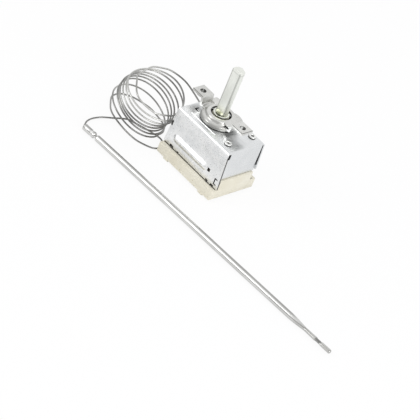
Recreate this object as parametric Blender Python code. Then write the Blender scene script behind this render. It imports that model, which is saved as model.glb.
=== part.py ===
"""Oven thermostat: sheet-steel housing on a ceramic switch base, control shaft, capillary and bulb.

Metres, +Z up along the control shaft. The feet of the ceramic base stand on z = 0, and the
origin is the bottom centre of the body's box, without the free capillary and its bulb.
The lengths below are in the drawing's own frame, whose centre is that of the ceramic base.
"""
import math

import bmesh
import bpy
from mathutils import Matrix, Vector

MM = 0.001

# Clearances
SEAT = 0.3 * MM
RUN = 0.3 * MM

# Ceramic base
BASE_LENGTH = 37.4 * MM
BASE_DEPTH = 28.8 * MM
FOOT_HEIGHT = 0.9 * MM
FOOT_LENGTH = 3.0 * MM
FOOT_WIDTH = 2.4 * MM
FOOT_PITCH = 24.6 * MM
FLANGE_THICKNESS = 5.4 * MM
BLOCK_RISE = 4.9 * MM
BASE_EDGE = 0.5 * MM
FLOOR_THICKNESS = 2.1 * MM
POCKET_LEFT = 2.1 * MM
POCKET_RIGHT = 5.4 * MM
POCKET_HALF_DEPTH = 7.5 * MM
SCREW_WELL_RADIUS = 2.6 * MM
SCREW_WELL_DEPTH = 1.1 * MM

# Housing, bent from one sheet
END_STEP = 0.9 * MM
LEDGE = 2.6 * MM
HOUSING_RISE = 15.8 * MM
FLAP_FLARE = 1.15 * MM
SHEET = 0.8 * MM
BEND_RADIUS = 1.6 * MM
SEAM_WIDTH = 0.2 * MM
REAR_SEAM_WIDTH = 0.35 * MM
REAR_SEAM_DROP = 12.5 * MM
RELIEF_WIDTH = 0.9 * MM
RELIEF_HEIGHT = 2.2 * MM
RIB_LENGTH = 24.2 * MM
RIB_HEIGHT = 4.6 * MM
RIB_DEPTH = 0.9 * MM
RIB_OFFSET = -2.4 * MM
RIB_LEVEL = 5.6 * MM
CLIP_WIDTH = 2.4 * MM
CLIP_REACH = 1.5 * MM
CLIP_THICKNESS = 0.5 * MM
CLIP_PITCH = 24.4 * MM
GAUGE_HOLE = 1.3 * MM
LANCE_WIDTH = 1.4 * MM
LANCE_HEIGHT = 3.4 * MM
LANCE_CUT = 0.45 * MM
EDGE_SLOT_HEIGHT = 2.6 * MM
EDGE_SLOT_LEVEL = 9.2 * MM
HOOK_SLOT = 2.6 * MM
HOOK_CUT = 0.7 * MM
HOOK_INSET = 5.0 * MM
HOOK_OFFSET_Y = -5.4 * MM

# Control shaft and its guide
SHAFT_X = -3.65 * MM
SHAFT_Y = 0.9 * MM
SHAFT_RADIUS = 3.0 * MM
SHAFT_FLAT = 1.6 * MM
SHAFT_REACH = 23.0 * MM
SHAFT_CHAMFER = 0.8 * MM
FLAT_START = 1.2 * MM
COLLAR_RADIUS = 3.8 * MM
SHAFT_TAIL = 2.8 * MM
FORK_WIDTH = 1.9 * MM
FORK_DEPTH = 4.2 * MM
GROOVE_RADIUS = 2.3 * MM
RING_RADIUS = 4.3 * MM
RING_THICKNESS = 0.6 * MM
RING_MOUTH = 3.4 * MM
SLEEVE_WALL = 0.95 * MM
SLEEVE_HEIGHT = 3.1 * MM
GUIDE_FLANGE_RADIUS = 6.4 * MM
GUIDE_FLANGE_THICKNESS = 0.8 * MM
TURN_DEGREES = 270.0

# Mounting bracket
MOUNT_RISE = 6.2 * MM
HOLE_SPACING = 28.0 * MM
HOLE_RADIUS = 1.65 * MM
BRACKET_SHEET = 1.0 * MM
TAB_WIDTH = 7.2 * MM
TAB_END = 3.35 * MM
ARM_DROP = 3.7 * MM
RISER_FOOT = 9.35 * MM
RISER_LEAN = 0.8 * MM
DOME_RADIUS = 9.0 * MM
DOME_HOLE = 5.0 * MM
DOME_DROP = 2.1 * MM
COLLAR_WALL = 0.9 * MM
COLLAR_LENGTH = 1.2 * MM
DOME_SHARES = ((0.0, 1.0), (0.33, 1.0), (0.55, 0.89), (0.65, 0.55), (0.83, 0.47), (1.0, 0.24), (1.0, 0.0))

# Adjusting screw and its bridge under the housing's top
SCREW_RADIUS = 2.5 * MM
SCREW_LENGTH = 6.0 * MM
SCREW_PITCH = 0.7 * MM
TONGUE_THICKNESS = 1.2 * MM
TONGUE_WIDTH = 4.2 * MM
TONGUE_HEIGHT = 3.7 * MM
BRIDGE_SHEET = 1.2 * MM
BRIDGE_LEFT = 5.4 * MM
BRIDGE_END_GAP = 2.55 * MM
BRIDGE_SIDE_GAP = 0.6 * MM
CUP_WALL = 1.4 * MM
CUP_FLOOR = 1.2 * MM
BOSS_WALL = 1.6 * MM
BOSS_LENGTH = 3.3 * MM
RIVET_INSET = 2.85 * MM
RIVET_EDGE = 1.7 * MM
RIVET_SHANK = 1.0 * MM
RIVET_HEAD = 1.9 * MM
RIVET_HEAD_HEIGHT = 0.5 * MM

# Diaphragm capsule
DISC_GAP = 1.1 * MM
DISC_SHEET = 0.4 * MM
DISC_CROWN = 0.65 * MM
DISC_RIPPLE = 0.16 * MM
DISC_RIPPLES = 3
HUB_RADIUS = 3.2 * MM
HUB_HEIGHT = 1.3 * MM

# Switch in the base
STRIP_THICKNESS = 0.8 * MM
TAB_BLADE = 6.3 * MM
TAB_REACH = 7.9 * MM
TAB_HOLE = 0.8 * MM
TAB_POINT = 1.3 * MM
SLOT_SIDE = 0.35 * MM
STRIP_INNER = 3.4 * MM
LOAD_INSET = 5.6 * MM
COMMON_INSET = 10.3 * MM
RIVET_Y = 4.9 * MM
TERMINAL_SHANK = 1.2 * MM
TERMINAL_HEAD = 2.1 * MM
TERMINAL_HEAD_HEIGHT = 0.6 * MM
ARM_THICKNESS = 0.5 * MM
ARM_WIDTH = 5.2 * MM
ARM_TIP_INSET = 2.6 * MM
PIVOT_INSET = 5.3 * MM
ARM_TAIL = 2.0 * MM
ARM_WINDOW = 7.0 * MM
ARM_LEVEL = 3.7 * MM
POST_LEG = 0.8 * MM
CONTACT_INSET = 4.3 * MM
CONTACT_RADIUS = 1.6 * MM
CONTACT_HEIGHT = 0.6 * MM
BUTTON_RADIUS = 1.9 * MM
BUTTON_STEM = 1.3 * MM
BRACKET_BACK = 3.6 * MM
BRACKET_LIP = 1.7 * MM
LIFT_SHARE = 0.95

# Capillary and bulb
CAPILLARY_RADIUS = 0.4 * MM
CAPILLARY_PORT = 1.1 * MM
PORT_INSET = 3.3 * MM
PORT_Z = 18.5 * MM
STUB_INSET = 2.3 * MM
COIL_REACH = 16.55 * MM
COIL_SIDE = 17.55 * MM
COIL_HEIGHT = 23.75 * MM
COIL_LEAN = 0.375
COIL_RADIUS = 14.15 * MM
COIL_PITCH = 2.5 * MM
COIL_TURNS = 7
COIL_SPREAD = 0.35 * MM
BULB_REACH = 25.95 * MM
BULB_SIDE = 47.0 * MM
BULB_LEVEL = 1.6 * MM
BULB_YAW_DEGREES = 3.0
BULB_RADIUS = 1.57 * MM
BULB_LENGTH = 134.5 * MM
SWAGE_LENGTH = 7.4 * MM
NECK_GAP = 1.3 * MM
NECK_RADIUS = 0.9 * MM
SHOULDER_LENGTH = 5.2 * MM
TIP_RADIUS = 1.0 * MM
TIP_LENGTH = 14.0 * MM
CRIMP_START = 5.0 * MM
CRIMP_LENGTH = 3.0 * MM
CRIMP_HALF_HEIGHT = 0.55 * MM
TUBE_STEP = 4.0 * MM

# The capillary's way, in millimetres from the floor under its port: first round to the first turn
LEAD_POINTS = (
    (2.0, 0.0, 18.5),
    (-0.7, 0.3, 18.9),
    (-7.6, 0.9, 20.6),
    (-13.4, 0.5, 22.7),
    (-16.7, -0.4, 24.0),
    (-20.2, -2.4, 25.3),
    (-23.4, -5.3, 26.5),
    (-25.3, -9.0, 27.2),
    (-26.5, -12.0, 27.6),
    (-27.0, -14.2, 27.7),
    (-26.6, -17.7, 27.6),
    (-25.1, -24.5, 27.0),
    (-23.0, -26.6, 26.2),
    (-20.0, -29.0, 25.0),
    (-17.3, -30.6, 24.0),
    (-14.9, -31.0, 23.0),
    (-12.2, -30.4, 22.0),
    (-9.5, -29.1, 20.9),
    (-7.7, -27.8, 20.2),
    (-5.9, -25.9, 19.4),
    (-4.5, -23.7, 18.7),
    (-3.5, -19.0, 17.4),
)

# Then the low loose turn and the way on to the bulb
TAIL_POINTS = (
    (-9.5, -11.5, 1.5),
    (-11.8, -8.4, 1.3),
    (-14.7, -6.2, 1.1),
    (-21.0, -4.6, 0.7),
    (-27.0, -4.0, 0.55),
    (-33.8, -5.8, 0.5),
    (-37.5, -7.8, 0.5),
    (-40.7, -11.6, 0.5),
    (-40.8, -15.4, 0.5),
    (-40.0, -17.7, 0.5),
    (-36.5, -21.2, 0.5),
    (-32.3, -24.5, 0.5),
    (-26.7, -26.5, 0.5),
    (-18.4, -27.7, 0.5),
    (-11.2, -27.4, 0.5),
    (-6.1, -25.3, 0.5),
    (-2.6, -22.5, 0.5),
    (-2.2, -19.0, 0.5),
    (-3.7, -16.0, 0.5),
    (-7.2, -14.5, 0.5),
    (-13.2, -16.0, 0.5),
    (-20.2, -19.0, 0.5),
    (-23.2, -21.7, 1.2),
    (-24.6, -26.3, 2.0),
    (-25.4, -28.5, 2.0),
    (-27.3, -31.1, 1.6),
    (-29.4, -34.1, 0.9),
    (-30.25, -38.3, 0.6),
    (-29.4, -42.2, 0.8),
    (-27.5, -45.2, 1.3),
    (-26.25, -47.0, 1.6),
)

# Levels and places that follow from the sizes above
HALF_LENGTH = BASE_LENGTH / 2 - END_STEP
HALF_DEPTH = BASE_DEPTH / 2 - LEDGE
FLANGE_BOTTOM = FOOT_HEIGHT
FLANGE_TOP = FLANGE_BOTTOM + FLANGE_THICKNESS
BASE_TOP = FLANGE_TOP + BLOCK_RISE
FLAP_BOTTOM = FLANGE_TOP + SEAT
WALL_BOTTOM = BASE_TOP + SEAT
TOP = BASE_TOP + HOUSING_RISE
UNDER_TOP = TOP - SHEET
MOUNT_Z = TOP + MOUNT_RISE
GUIDE_BOTTOM = TOP + SEAT
SLEEVE_TOP = GUIDE_BOTTOM + SLEEVE_HEIGHT
DOME_TOP = MOUNT_Z - DOME_DROP
RING_BOTTOM = SLEEVE_TOP + SEAT
SHAFT_TIP = MOUNT_Z + SHAFT_REACH
SHAFT_BOTTOM = TOP - SHAFT_TAIL
SHAFT_HOLE = COLLAR_RADIUS + SEAT + 0.1 * MM
BRIDGE_TOP = UNDER_TOP - SEAT
BRIDGE_BOTTOM = BRIDGE_TOP - BRIDGE_SHEET
FEED = SCREW_PITCH * TURN_DEGREES / 360.0
CUP_BORE = COLLAR_RADIUS + SEAT + 0.1 * MM
CUP_FLOOR_TOP = SHAFT_BOTTOM - SEAT
CUP_BOTTOM = CUP_FLOOR_TOP - CUP_FLOOR
BOSS_BOTTOM = CUP_BOTTOM - BOSS_LENGTH
SCREW_TOP = SHAFT_BOTTOM - FEED - SEAT
SCREW_BOTTOM = SCREW_TOP - SCREW_LENGTH
HUB_TOP = SCREW_BOTTOM - SEAT
HUB_BOTTOM = HUB_TOP - HUB_HEIGHT
DISC_TOP = HUB_BOTTOM - SEAT
RIM_LEVEL = DISC_TOP - DISC_CROWN - DISC_SHEET - SEAT / 2
DISC_BOTTOM = RIM_LEVEL - (DISC_TOP - RIM_LEVEL)
FLOOR_TOP = FLANGE_BOTTOM + FLOOR_THICKNESS
STRIP_BOTTOM = FLOOR_TOP + SEAT
STRIP_TOP = STRIP_BOTTOM + STRIP_THICKNESS
ARM_CENTRE = STRIP_BOTTOM + ARM_LEVEL
ARM_BOTTOM = ARM_CENTRE - ARM_THICKNESS / 2
ARM_TOP = ARM_CENTRE + ARM_THICKNESS / 2
BUTTON_TOP = DISC_BOTTOM - SEAT
CONTACT_TOP = ARM_TOP + SEAT + CONTACT_HEIGHT
POCKET_X0 = -BASE_LENGTH / 2 + POCKET_LEFT
POCKET_X1 = BASE_LENGTH / 2 - POCKET_RIGHT
LOAD_X = POCKET_X0 + LOAD_INSET
COMMON_X = POCKET_X1 - COMMON_INSET
ARM_TIP_X = POCKET_X0 + ARM_TIP_INSET
ARM_PIVOT_X = POCKET_X1 - PIVOT_INSET
CONTACT_X = POCKET_X0 + CONTACT_INSET
BRIDGE_X1 = HALF_LENGTH - SHEET - BRIDGE_END_GAP
BRIDGE_HALF_DEPTH = HALF_DEPTH - SHEET - SHAFT_Y - BRIDGE_SIDE_GAP
RIVET_X = BRIDGE_X1 - RIVET_INSET
RIVET_SPREAD = BRIDGE_HALF_DEPTH - RIVET_EDGE
DISC_RADIUS = HALF_DEPTH - SHEET - SHAFT_Y - DISC_GAP
PORT = Vector((-HALF_LENGTH, HALF_DEPTH - PORT_INSET, 0.0))
COIL_TOP = Vector((-COIL_REACH, -COIL_SIDE, COIL_HEIGHT))
BULB_START = Vector((-BULB_REACH, -BULB_SIDE, BULB_LEVEL))
LIFT_RADIANS = LIFT_SHARE * FEED / (ARM_PIVOT_X - SHAFT_X)
CONTACT_GAP = LIFT_RADIANS * (ARM_PIVOT_X - CONTACT_X) + SEAT
FIXED_BOTTOM = CONTACT_TOP + CONTACT_GAP
FIXED_TOP = FIXED_BOTTOM + CONTACT_HEIGHT
WIDEST = max(BASE_LENGTH / 2, HALF_LENGTH + FLAP_FLARE)
BODY_LEFT = min(SHAFT_X - HOLE_SPACING / 2 - TAB_END, -WIDEST)
BODY_RIGHT = max(SHAFT_X + HOLE_SPACING / 2 + TAB_END, WIDEST)
BODY_REAR = BASE_DEPTH / 2 + TAB_REACH
FRAME = Vector((-(BODY_LEFT + BODY_RIGHT) / 2, -(BODY_REAR - BASE_DEPTH / 2) / 2, 0.0))


def clear_scene():
    for thing in list(bpy.data.objects):
        bpy.data.objects.remove(thing, do_unlink=True)


def make_material(name, colour, roughness, metallic):
    material = bpy.data.materials.new(name)
    material.use_nodes = True
    shader = material.node_tree.nodes["Principled BSDF"]
    shader.inputs["Base Color"].default_value = (*colour, 1.0)
    shader.inputs["Roughness"].default_value = roughness
    shader.inputs["Metallic"].default_value = metallic
    return material


def add_object(name, mesh, colour, roughness, metallic, origin=(0.0, 0.0, 0.0)):
    """An object of its own mesh and material, with its origin at a point of the drawing's frame."""
    origin = Vector(origin)
    bmesh.ops.translate(mesh, verts=mesh.verts, vec=-origin)
    bmesh.ops.recalc_face_normals(mesh, faces=mesh.faces)
    data = bpy.data.meshes.new(name)
    mesh.to_mesh(data)
    mesh.free()
    data.materials.append(make_material(name, colour, roughness, metallic))
    data.shade_smooth()
    data.set_sharp_from_angle(angle=math.radians(35.0))
    part = bpy.data.objects.new(name, data)
    part.location = origin + FRAME
    bpy.context.collection.objects.link(part)
    return part


def add_cutter(name, mesh, target):
    """A guide body in the target's place, left out of the finished part."""
    bmesh.ops.translate(mesh, verts=mesh.verts, vec=FRAME - target.location)
    bmesh.ops.recalc_face_normals(mesh, faces=mesh.faces)
    data = bpy.data.meshes.new(name)
    mesh.to_mesh(data)
    mesh.free()
    cutter = bpy.data.objects.new(name, data)
    cutter.location = target.location
    cutter.hide_render = True
    cutter.display_type = 'WIRE'
    bpy.context.collection.objects.link(cutter)
    return cutter


def combine(target, name, mesh, operation):
    modifier = target.modifiers.new(name, 'BOOLEAN')
    modifier.operation = operation
    modifier.solver = 'EXACT'
    modifier.object = add_cutter(target.name + "_" + name, mesh, target)


def cut(target, name, mesh):
    combine(target, name, mesh, 'DIFFERENCE')


def fuse(target, name, mesh):
    combine(target, name, mesh, 'UNION')


def bevel_edges(part, width, segments):
    modifier = part.modifiers.new("Edges", 'BEVEL')
    modifier.width = width
    modifier.segments = segments
    modifier.limit_method = 'ANGLE'
    modifier.angle_limit = math.radians(40.0)


def box(x0, x1, y0, y1, z0, z1):
    mesh = bmesh.new()
    bmesh.ops.create_cube(mesh, size=1.0)
    bmesh.ops.scale(mesh, vec=(x1 - x0, y1 - y0, z1 - z0), verts=mesh.verts)
    centre = Vector(((x0 + x1) / 2, (y0 + y1) / 2, (z0 + z1) / 2))
    bmesh.ops.translate(mesh, vec=centre, verts=mesh.verts)
    return mesh


def prism(corners, direction):
    """A closed outline of points, pushed along a direction."""
    mesh = bmesh.new()
    face = mesh.faces.new([mesh.verts.new(corner) for corner in corners])
    grown = bmesh.ops.extrude_face_region(mesh, geom=[face])
    moved = [item for item in grown["geom"] if isinstance(item, bmesh.types.BMVert)]
    bmesh.ops.translate(mesh, vec=Vector(direction), verts=moved)
    return mesh


def turned(profile, centre, segments, closed):
    """A profile of (radius, height) points, spun about the upright line through centre."""
    mesh = bmesh.new()
    ring = [mesh.verts.new((radius, 0.0, height)) for radius, height in profile]
    edges = [mesh.edges.new(pair) for pair in zip(ring, ring[1:])]
    if closed:
        edges.append(mesh.edges.new((ring[-1], ring[0])))
    bmesh.ops.spin(
        mesh, geom=ring + edges, cent=(0.0, 0.0, 0.0), axis=(0.0, 0.0, 1.0),
        angle=math.tau, steps=segments, use_merge=True, use_duplicate=False)
    bmesh.ops.remove_doubles(mesh, verts=mesh.verts, dist=1e-7)
    bmesh.ops.translate(mesh, vec=Vector((centre[0], centre[1], 0.0)), verts=mesh.verts)
    return mesh


def disc(radius, x, y, z0, z1, segments=24):
    profile = ((0.0, z1), (radius, z1), (radius, z0), (0.0, z0))
    return turned(profile, (x, y), segments, False)


def ring(inner, outer, x, y, z0, z1, segments=24):
    profile = ((inner, z0), (outer, z0), (outer, z1), (inner, z1))
    return turned(profile, (x, y), segments, True)


def gather(meshes):
    """Several bodies that don't touch, as one mesh."""
    whole = bmesh.new()
    for mesh in meshes:
        data = bpy.data.meshes.new("body")
        mesh.to_mesh(data)
        mesh.free()
        whole.from_mesh(data)
        bpy.data.meshes.remove(data)
    return whole


def slot_outline(length, height, x, z, y, steps=8):
    """A slot with round ends in an upright plane across Y."""
    radius = height / 2
    reach = length / 2 - radius
    points = []
    for side in (1, -1):
        for step in range(steps + 1):
            angle = side * math.pi / 2 - step * math.pi / steps
            points.append((x + side * reach + radius * math.cos(angle), y, z + radius * math.sin(angle)))
    return points


def bend_top(mesh, level, radius, segments):
    """Rounds the four top edges of a box."""
    edges = [
        edge for edge in mesh.edges
        if all(abs(vertex.co.z - level) < 1e-7 for vertex in edge.verts)]
    bmesh.ops.bevel(mesh, geom=edges, offset=radius, segments=segments, profile=0.5, affect='EDGES')


def smooth_route(points, step):
    """Points at even steps along a smooth curve through the route's own points."""
    knots = [PORT + Vector(point) * MM for point in points]
    knots = [knots[0] * 2 - knots[1]] + knots + [knots[-1] * 2 - knots[-2]]
    fine = []
    for before, start, end, after in zip(knots, knots[1:], knots[2:], knots[3:]):
        for index in range(12):
            t = index / 12
            fine.append(0.5 * (
                2 * start + (end - before) * t
                + (2 * before - 5 * start + 4 * end - after) * t ** 2
                + (3 * start - before - 3 * end + after) * t ** 3))
    fine.append(knots[-2])
    lengths = [0.0]
    for first, second in zip(fine, fine[1:]):
        lengths.append(lengths[-1] + (second - first).length)
    count = max(2, round(lengths[-1] / step))
    route = []
    place = 0
    for index in range(count + 1):
        wanted = lengths[-1] * index / count
        while place < len(lengths) - 2 and lengths[place + 1] < wanted:
            place += 1
        share = (wanted - lengths[place]) / (lengths[place + 1] - lengths[place])
        route.append(fine[place].lerp(fine[place + 1], share))
    return route


def add_tube(name, points, radius, colour, roughness, metallic, origin=(0.0, 0.0, 0.0)):
    origin = Vector(origin)
    data = bpy.data.curves.new(name, 'CURVE')
    data.dimensions = '3D'
    spline = data.splines.new('POLY')
    spline.points.add(len(points) - 1)
    for target, point in zip(spline.points, points):
        target.co = (*(point - origin), 1.0)
    data.bevel_depth = radius
    data.bevel_resolution = 2
    data.use_fill_caps = True
    data.materials.append(make_material(name, colour, roughness, metallic))
    tube = bpy.data.objects.new(name, data)
    tube.location = origin + FRAME
    bpy.context.collection.objects.link(tube)
    return tube


CERAMIC = ((0.80, 0.76, 0.62), 0.55, 0.0)
ZINC = ((0.70, 0.71, 0.71), 0.38, 1.0)
BRACKET_STEEL = ((0.66, 0.67, 0.66), 0.35, 1.0)
BRIGHT_STEEL = ((0.72, 0.72, 0.69), 0.30, 1.0)
BRASS = ((0.74, 0.68, 0.44), 0.35, 1.0)
STAINLESS = ((0.62, 0.62, 0.62), 0.30, 1.0)
SILVER = ((0.85, 0.84, 0.82), 0.25, 1.0)


def build_base():
    """Ceramic switch base: flange on four feet, raised block, contact pocket and terminal slots."""
    half_length = BASE_LENGTH / 2
    half_depth = BASE_DEPTH / 2
    block_half = HALF_DEPTH - SHEET - SEAT
    section = (
        (-half_length, -half_depth, FLANGE_BOTTOM), (-half_length, half_depth, FLANGE_BOTTOM),
        (-half_length, half_depth, FLANGE_TOP), (-half_length, block_half, FLANGE_TOP),
        (-half_length, block_half, BASE_TOP), (-half_length, -block_half, BASE_TOP),
        (-half_length, -block_half, FLANGE_TOP), (-half_length, -half_depth, FLANGE_TOP))
    base = add_object("ceramic_base", prism(section, (BASE_LENGTH, 0, 0)), *CERAMIC)
    bevel_edges(base, BASE_EDGE, 2)
    for side_x in (-1, 1):
        for side_y in (-1, 1):
            x = side_x * FOOT_PITCH / 2
            y = side_y * (half_depth - BASE_EDGE - FOOT_WIDTH / 2)
            foot = box(
                x - FOOT_LENGTH / 2, x + FOOT_LENGTH / 2, y - FOOT_WIDTH / 2, y + FOOT_WIDTH / 2,
                0.0, FLANGE_BOTTOM + BASE_EDGE)
            fuse(base, f"foot_{side_x}_{side_y}", foot)
    pocket = box(
        POCKET_X0, POCKET_X1, SHAFT_Y - POCKET_HALF_DEPTH, SHAFT_Y + POCKET_HALF_DEPTH,
        FLOOR_TOP, BASE_TOP + SHEET)
    cut(base, "pocket", pocket)
    for name, x in (("load", LOAD_X), ("common", COMMON_X)):
        half_blade = TAB_BLADE / 2 + SLOT_SIDE
        cut(base, "slot_" + name, box(
            x - half_blade, x + half_blade, SHAFT_Y + POCKET_HALF_DEPTH - SHEET, half_depth + SHEET,
            STRIP_BOTTOM - SEAT / 2, STRIP_TOP + SEAT))
        y = SHAFT_Y + RIVET_Y
        cut(base, "well_" + name, disc(
            SCREW_WELL_RADIUS, x, y, 0.0, FLANGE_BOTTOM + SCREW_WELL_DEPTH))
        cut(base, "hole_" + name, disc(
            TERMINAL_SHANK + SEAT, x, y, FLANGE_BOTTOM + SCREW_WELL_DEPTH / 2, FLOOR_TOP + SHEET))
    for side_x in (-1, 1):
        for side_y in (-1, 1):
            x = side_x * CLIP_PITCH / 2
            y = side_y * (HALF_DEPTH - SHEET / 2)
            reach = CLIP_THICKNESS / 2 + SEAT
            cut(base, f"clip_slot_{side_x}_{side_y}", box(
                x - CLIP_WIDTH / 2 - SEAT, x + CLIP_WIDTH / 2 + SEAT, y - reach, y + reach,
                FLAP_BOTTOM - CLIP_REACH - SEAT, FLANGE_TOP + SHEET))


def build_housing():
    """Housing bent from one sheet: top, two short end walls, two long flaps with clips."""
    flare = HALF_LENGTH + FLAP_FLARE
    straight = TOP - RELIEF_HEIGHT
    outline = (
        (-flare, -HALF_DEPTH, FLAP_BOTTOM), (flare, -HALF_DEPTH, FLAP_BOTTOM),
        (HALF_LENGTH, -HALF_DEPTH, straight), (HALF_LENGTH, -HALF_DEPTH, TOP),
        (-HALF_LENGTH, -HALF_DEPTH, TOP), (-HALF_LENGTH, -HALF_DEPTH, straight))
    shell = prism(outline, (0, 2 * HALF_DEPTH, 0))
    bend_top(shell, TOP, BEND_RADIUS, 4)
    housing = add_object("housing_shell", shell, *ZINC)
    inner_y = HALF_DEPTH - SHEET
    inner = box(
        -HALF_LENGTH + SHEET, HALF_LENGTH - SHEET, -inner_y, inner_y, FLAP_BOTTOM - SHEET, UNDER_TOP)
    bend_top(inner, UNDER_TOP, BEND_RADIUS - SHEET, 2)
    cut(housing, "inside", inner)
    for side in (-1, 1):
        wall = sorted((side * HALF_LENGTH, side * (flare + SHEET)))
        cut(housing, f"end_step_{side}", box(*wall, -inner_y, inner_y, FLAP_BOTTOM - SHEET, straight))
    for side in (-1, 1):
        wall = sorted((side * (HALF_LENGTH - SHEET * 1.5), side * (flare + SHEET)))
        cut(housing, f"end_mouth_{side}", box(*wall, -inner_y, inner_y, FLAP_BOTTOM - SHEET, WALL_BOTTOM))
        cut(housing, f"front_seam_{side}", box(
            *wall, -inner_y, -inner_y + SEAM_WIDTH, WALL_BOTTOM - SHEET, TOP - RELIEF_HEIGHT))
        cut(housing, f"front_relief_{side}", box(
            *wall, -inner_y - SHEET / 4, -inner_y + RELIEF_WIDTH,
            TOP - RELIEF_HEIGHT - SHEET, TOP - BEND_RADIUS / 2))
        cut(housing, f"rear_seam_{side}", box(
            *wall, inner_y - REAR_SEAM_WIDTH, inner_y, TOP - REAR_SEAM_DROP, TOP - BEND_RADIUS / 2))
    cut(housing, "shaft_hole", disc(SHAFT_HOLE, SHAFT_X, SHAFT_Y, UNDER_TOP - SHEET, TOP + SHEET, 32))
    for side in (-1, 1):
        y = SHAFT_Y + side * RIVET_SPREAD
        cut(housing, f"rivet_hole_{side}", disc(
            RIVET_SHANK + SEAT, RIVET_X, y, UNDER_TOP - SHEET, TOP + SHEET, 16))
    add_housing_details(housing, inner_y)


def add_housing_details(housing, inner_y):
    """Rib, clips, gauge hole, lanced corner, hook slot and the capillary's port."""
    rib = prism(
        slot_outline(RIB_LENGTH, RIB_HEIGHT, RIB_OFFSET, FLAP_BOTTOM + RIB_LEVEL, -HALF_DEPTH + SHEET / 2),
        (0, -RIB_DEPTH - SHEET / 2, 0))
    crest = [
        edge for edge in rib.edges
        if all(vertex.co.y < -HALF_DEPTH - RIB_DEPTH / 2 for vertex in edge.verts)]
    bmesh.ops.bevel(rib, geom=crest, offset=RIB_DEPTH * 0.95, segments=3, profile=0.5, affect='EDGES')
    fuse(housing, "rib", rib)
    for side_x in (-1, 1):
        for side_y in (-1, 1):
            x = side_x * CLIP_PITCH / 2
            y = side_y * (HALF_DEPTH - SHEET / 2)
            fuse(housing, f"clip_{side_x}_{side_y}", box(
                x - CLIP_WIDTH / 2, x + CLIP_WIDTH / 2, y - CLIP_THICKNESS / 2, y + CLIP_THICKNESS / 2,
                FLAP_BOTTOM - CLIP_REACH, FLAP_BOTTOM + SHEET))
    front_out = -HALF_DEPTH - SHEET
    front_in = -inner_y + SHEET
    gauge_x = RIB_OFFSET + RIB_LENGTH / 2 + LANCE_CUT / 2
    gauge_z = FLAP_BOTTOM + RIB_LEVEL
    cut(housing, "gauge_hole", box(
        gauge_x, gauge_x + GAUGE_HOLE, front_out, front_in,
        gauge_z - GAUGE_HOLE / 2, gauge_z + GAUGE_HOLE / 2))
    lance_x = HALF_LENGTH - LANCE_WIDTH - SHEET
    lance_z = FLAP_BOTTOM + LANCE_WIDTH
    lance_top = lance_z + LANCE_HEIGHT
    lance_end = lance_x + LANCE_WIDTH
    lance = (
        (lance_x, lance_z), (lance_end, lance_z), (lance_end, lance_z + LANCE_CUT),
        (lance_x + LANCE_CUT, lance_z + LANCE_CUT), (lance_x + LANCE_CUT, lance_top - LANCE_CUT),
        (lance_end, lance_top - LANCE_CUT), (lance_end, lance_top), (lance_x, lance_top))
    lance_corners = [(x, front_out, z) for x, z in lance]
    cut(housing, "lance", prism(lance_corners, (0, front_in - front_out, 0)))
    slot_z = FLAP_BOTTOM + EDGE_SLOT_LEVEL
    cut(housing, "edge_slot", box(
        -HALF_LENGTH - FLAP_FLARE, -HALF_LENGTH + LANCE_CUT, front_out, -HALF_DEPTH + SHEET / 2,
        slot_z, slot_z + EDGE_SLOT_HEIGHT))
    hook_x = -HALF_LENGTH + HOOK_INSET
    hook_y = SHAFT_Y + HOOK_OFFSET_Y
    hook = (
        (hook_x, hook_y, UNDER_TOP - SHEET), (hook_x + HOOK_SLOT, hook_y, UNDER_TOP - SHEET),
        (hook_x + HOOK_SLOT, hook_y + HOOK_CUT, UNDER_TOP - SHEET),
        (hook_x + HOOK_CUT, hook_y + HOOK_CUT, UNDER_TOP - SHEET),
        (hook_x + HOOK_CUT, hook_y + HOOK_SLOT, UNDER_TOP - SHEET),
        (hook_x, hook_y + HOOK_SLOT, UNDER_TOP - SHEET))
    cut(housing, "hook_slot", prism(hook, (0, 0, SHEET * 3)))
    port = disc(CAPILLARY_PORT, 0.0, 0.0, -SHEET * 2, SHEET * 2, 16)
    bmesh.ops.rotate(port, verts=port.verts, cent=(0, 0, 0), matrix=Matrix.Rotation(math.pi / 2, 3, 'Y'))
    bmesh.ops.translate(port, verts=port.verts, vec=PORT + Vector((SHEET / 2, 0.0, PORT_Z)))
    cut(housing, "port", port)


def offset_line(points, distance):
    """The same open line of points, moved sideways to its right by a distance."""
    points = [Vector(point) for point in points]
    sides = []
    for first, second in zip(points, points[1:]):
        along = (second - first).normalized()
        sides.append(Vector((along.y, -along.x)))
    moved = [points[0] + sides[0] * distance]
    for point, before, after in zip(points[1:], sides, sides[1:]):
        moved.append(point + (before + after) * distance / (1 + before.dot(after)))
    moved.append(points[-1] + sides[-1] * distance)
    return moved


def dome_profile():
    """Stepped dome of the bracket, from the shaft hole down to its foot on the housing."""
    foot = TOP + SEAT
    span = DOME_RADIUS - DOME_HOLE
    rise = DOME_TOP - foot
    outer = [(DOME_HOLE + share * span, foot + level * rise) for share, level in DOME_SHARES]
    return outer + [tuple(point) for point in reversed(offset_line(outer, BRACKET_SHEET))]


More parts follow.
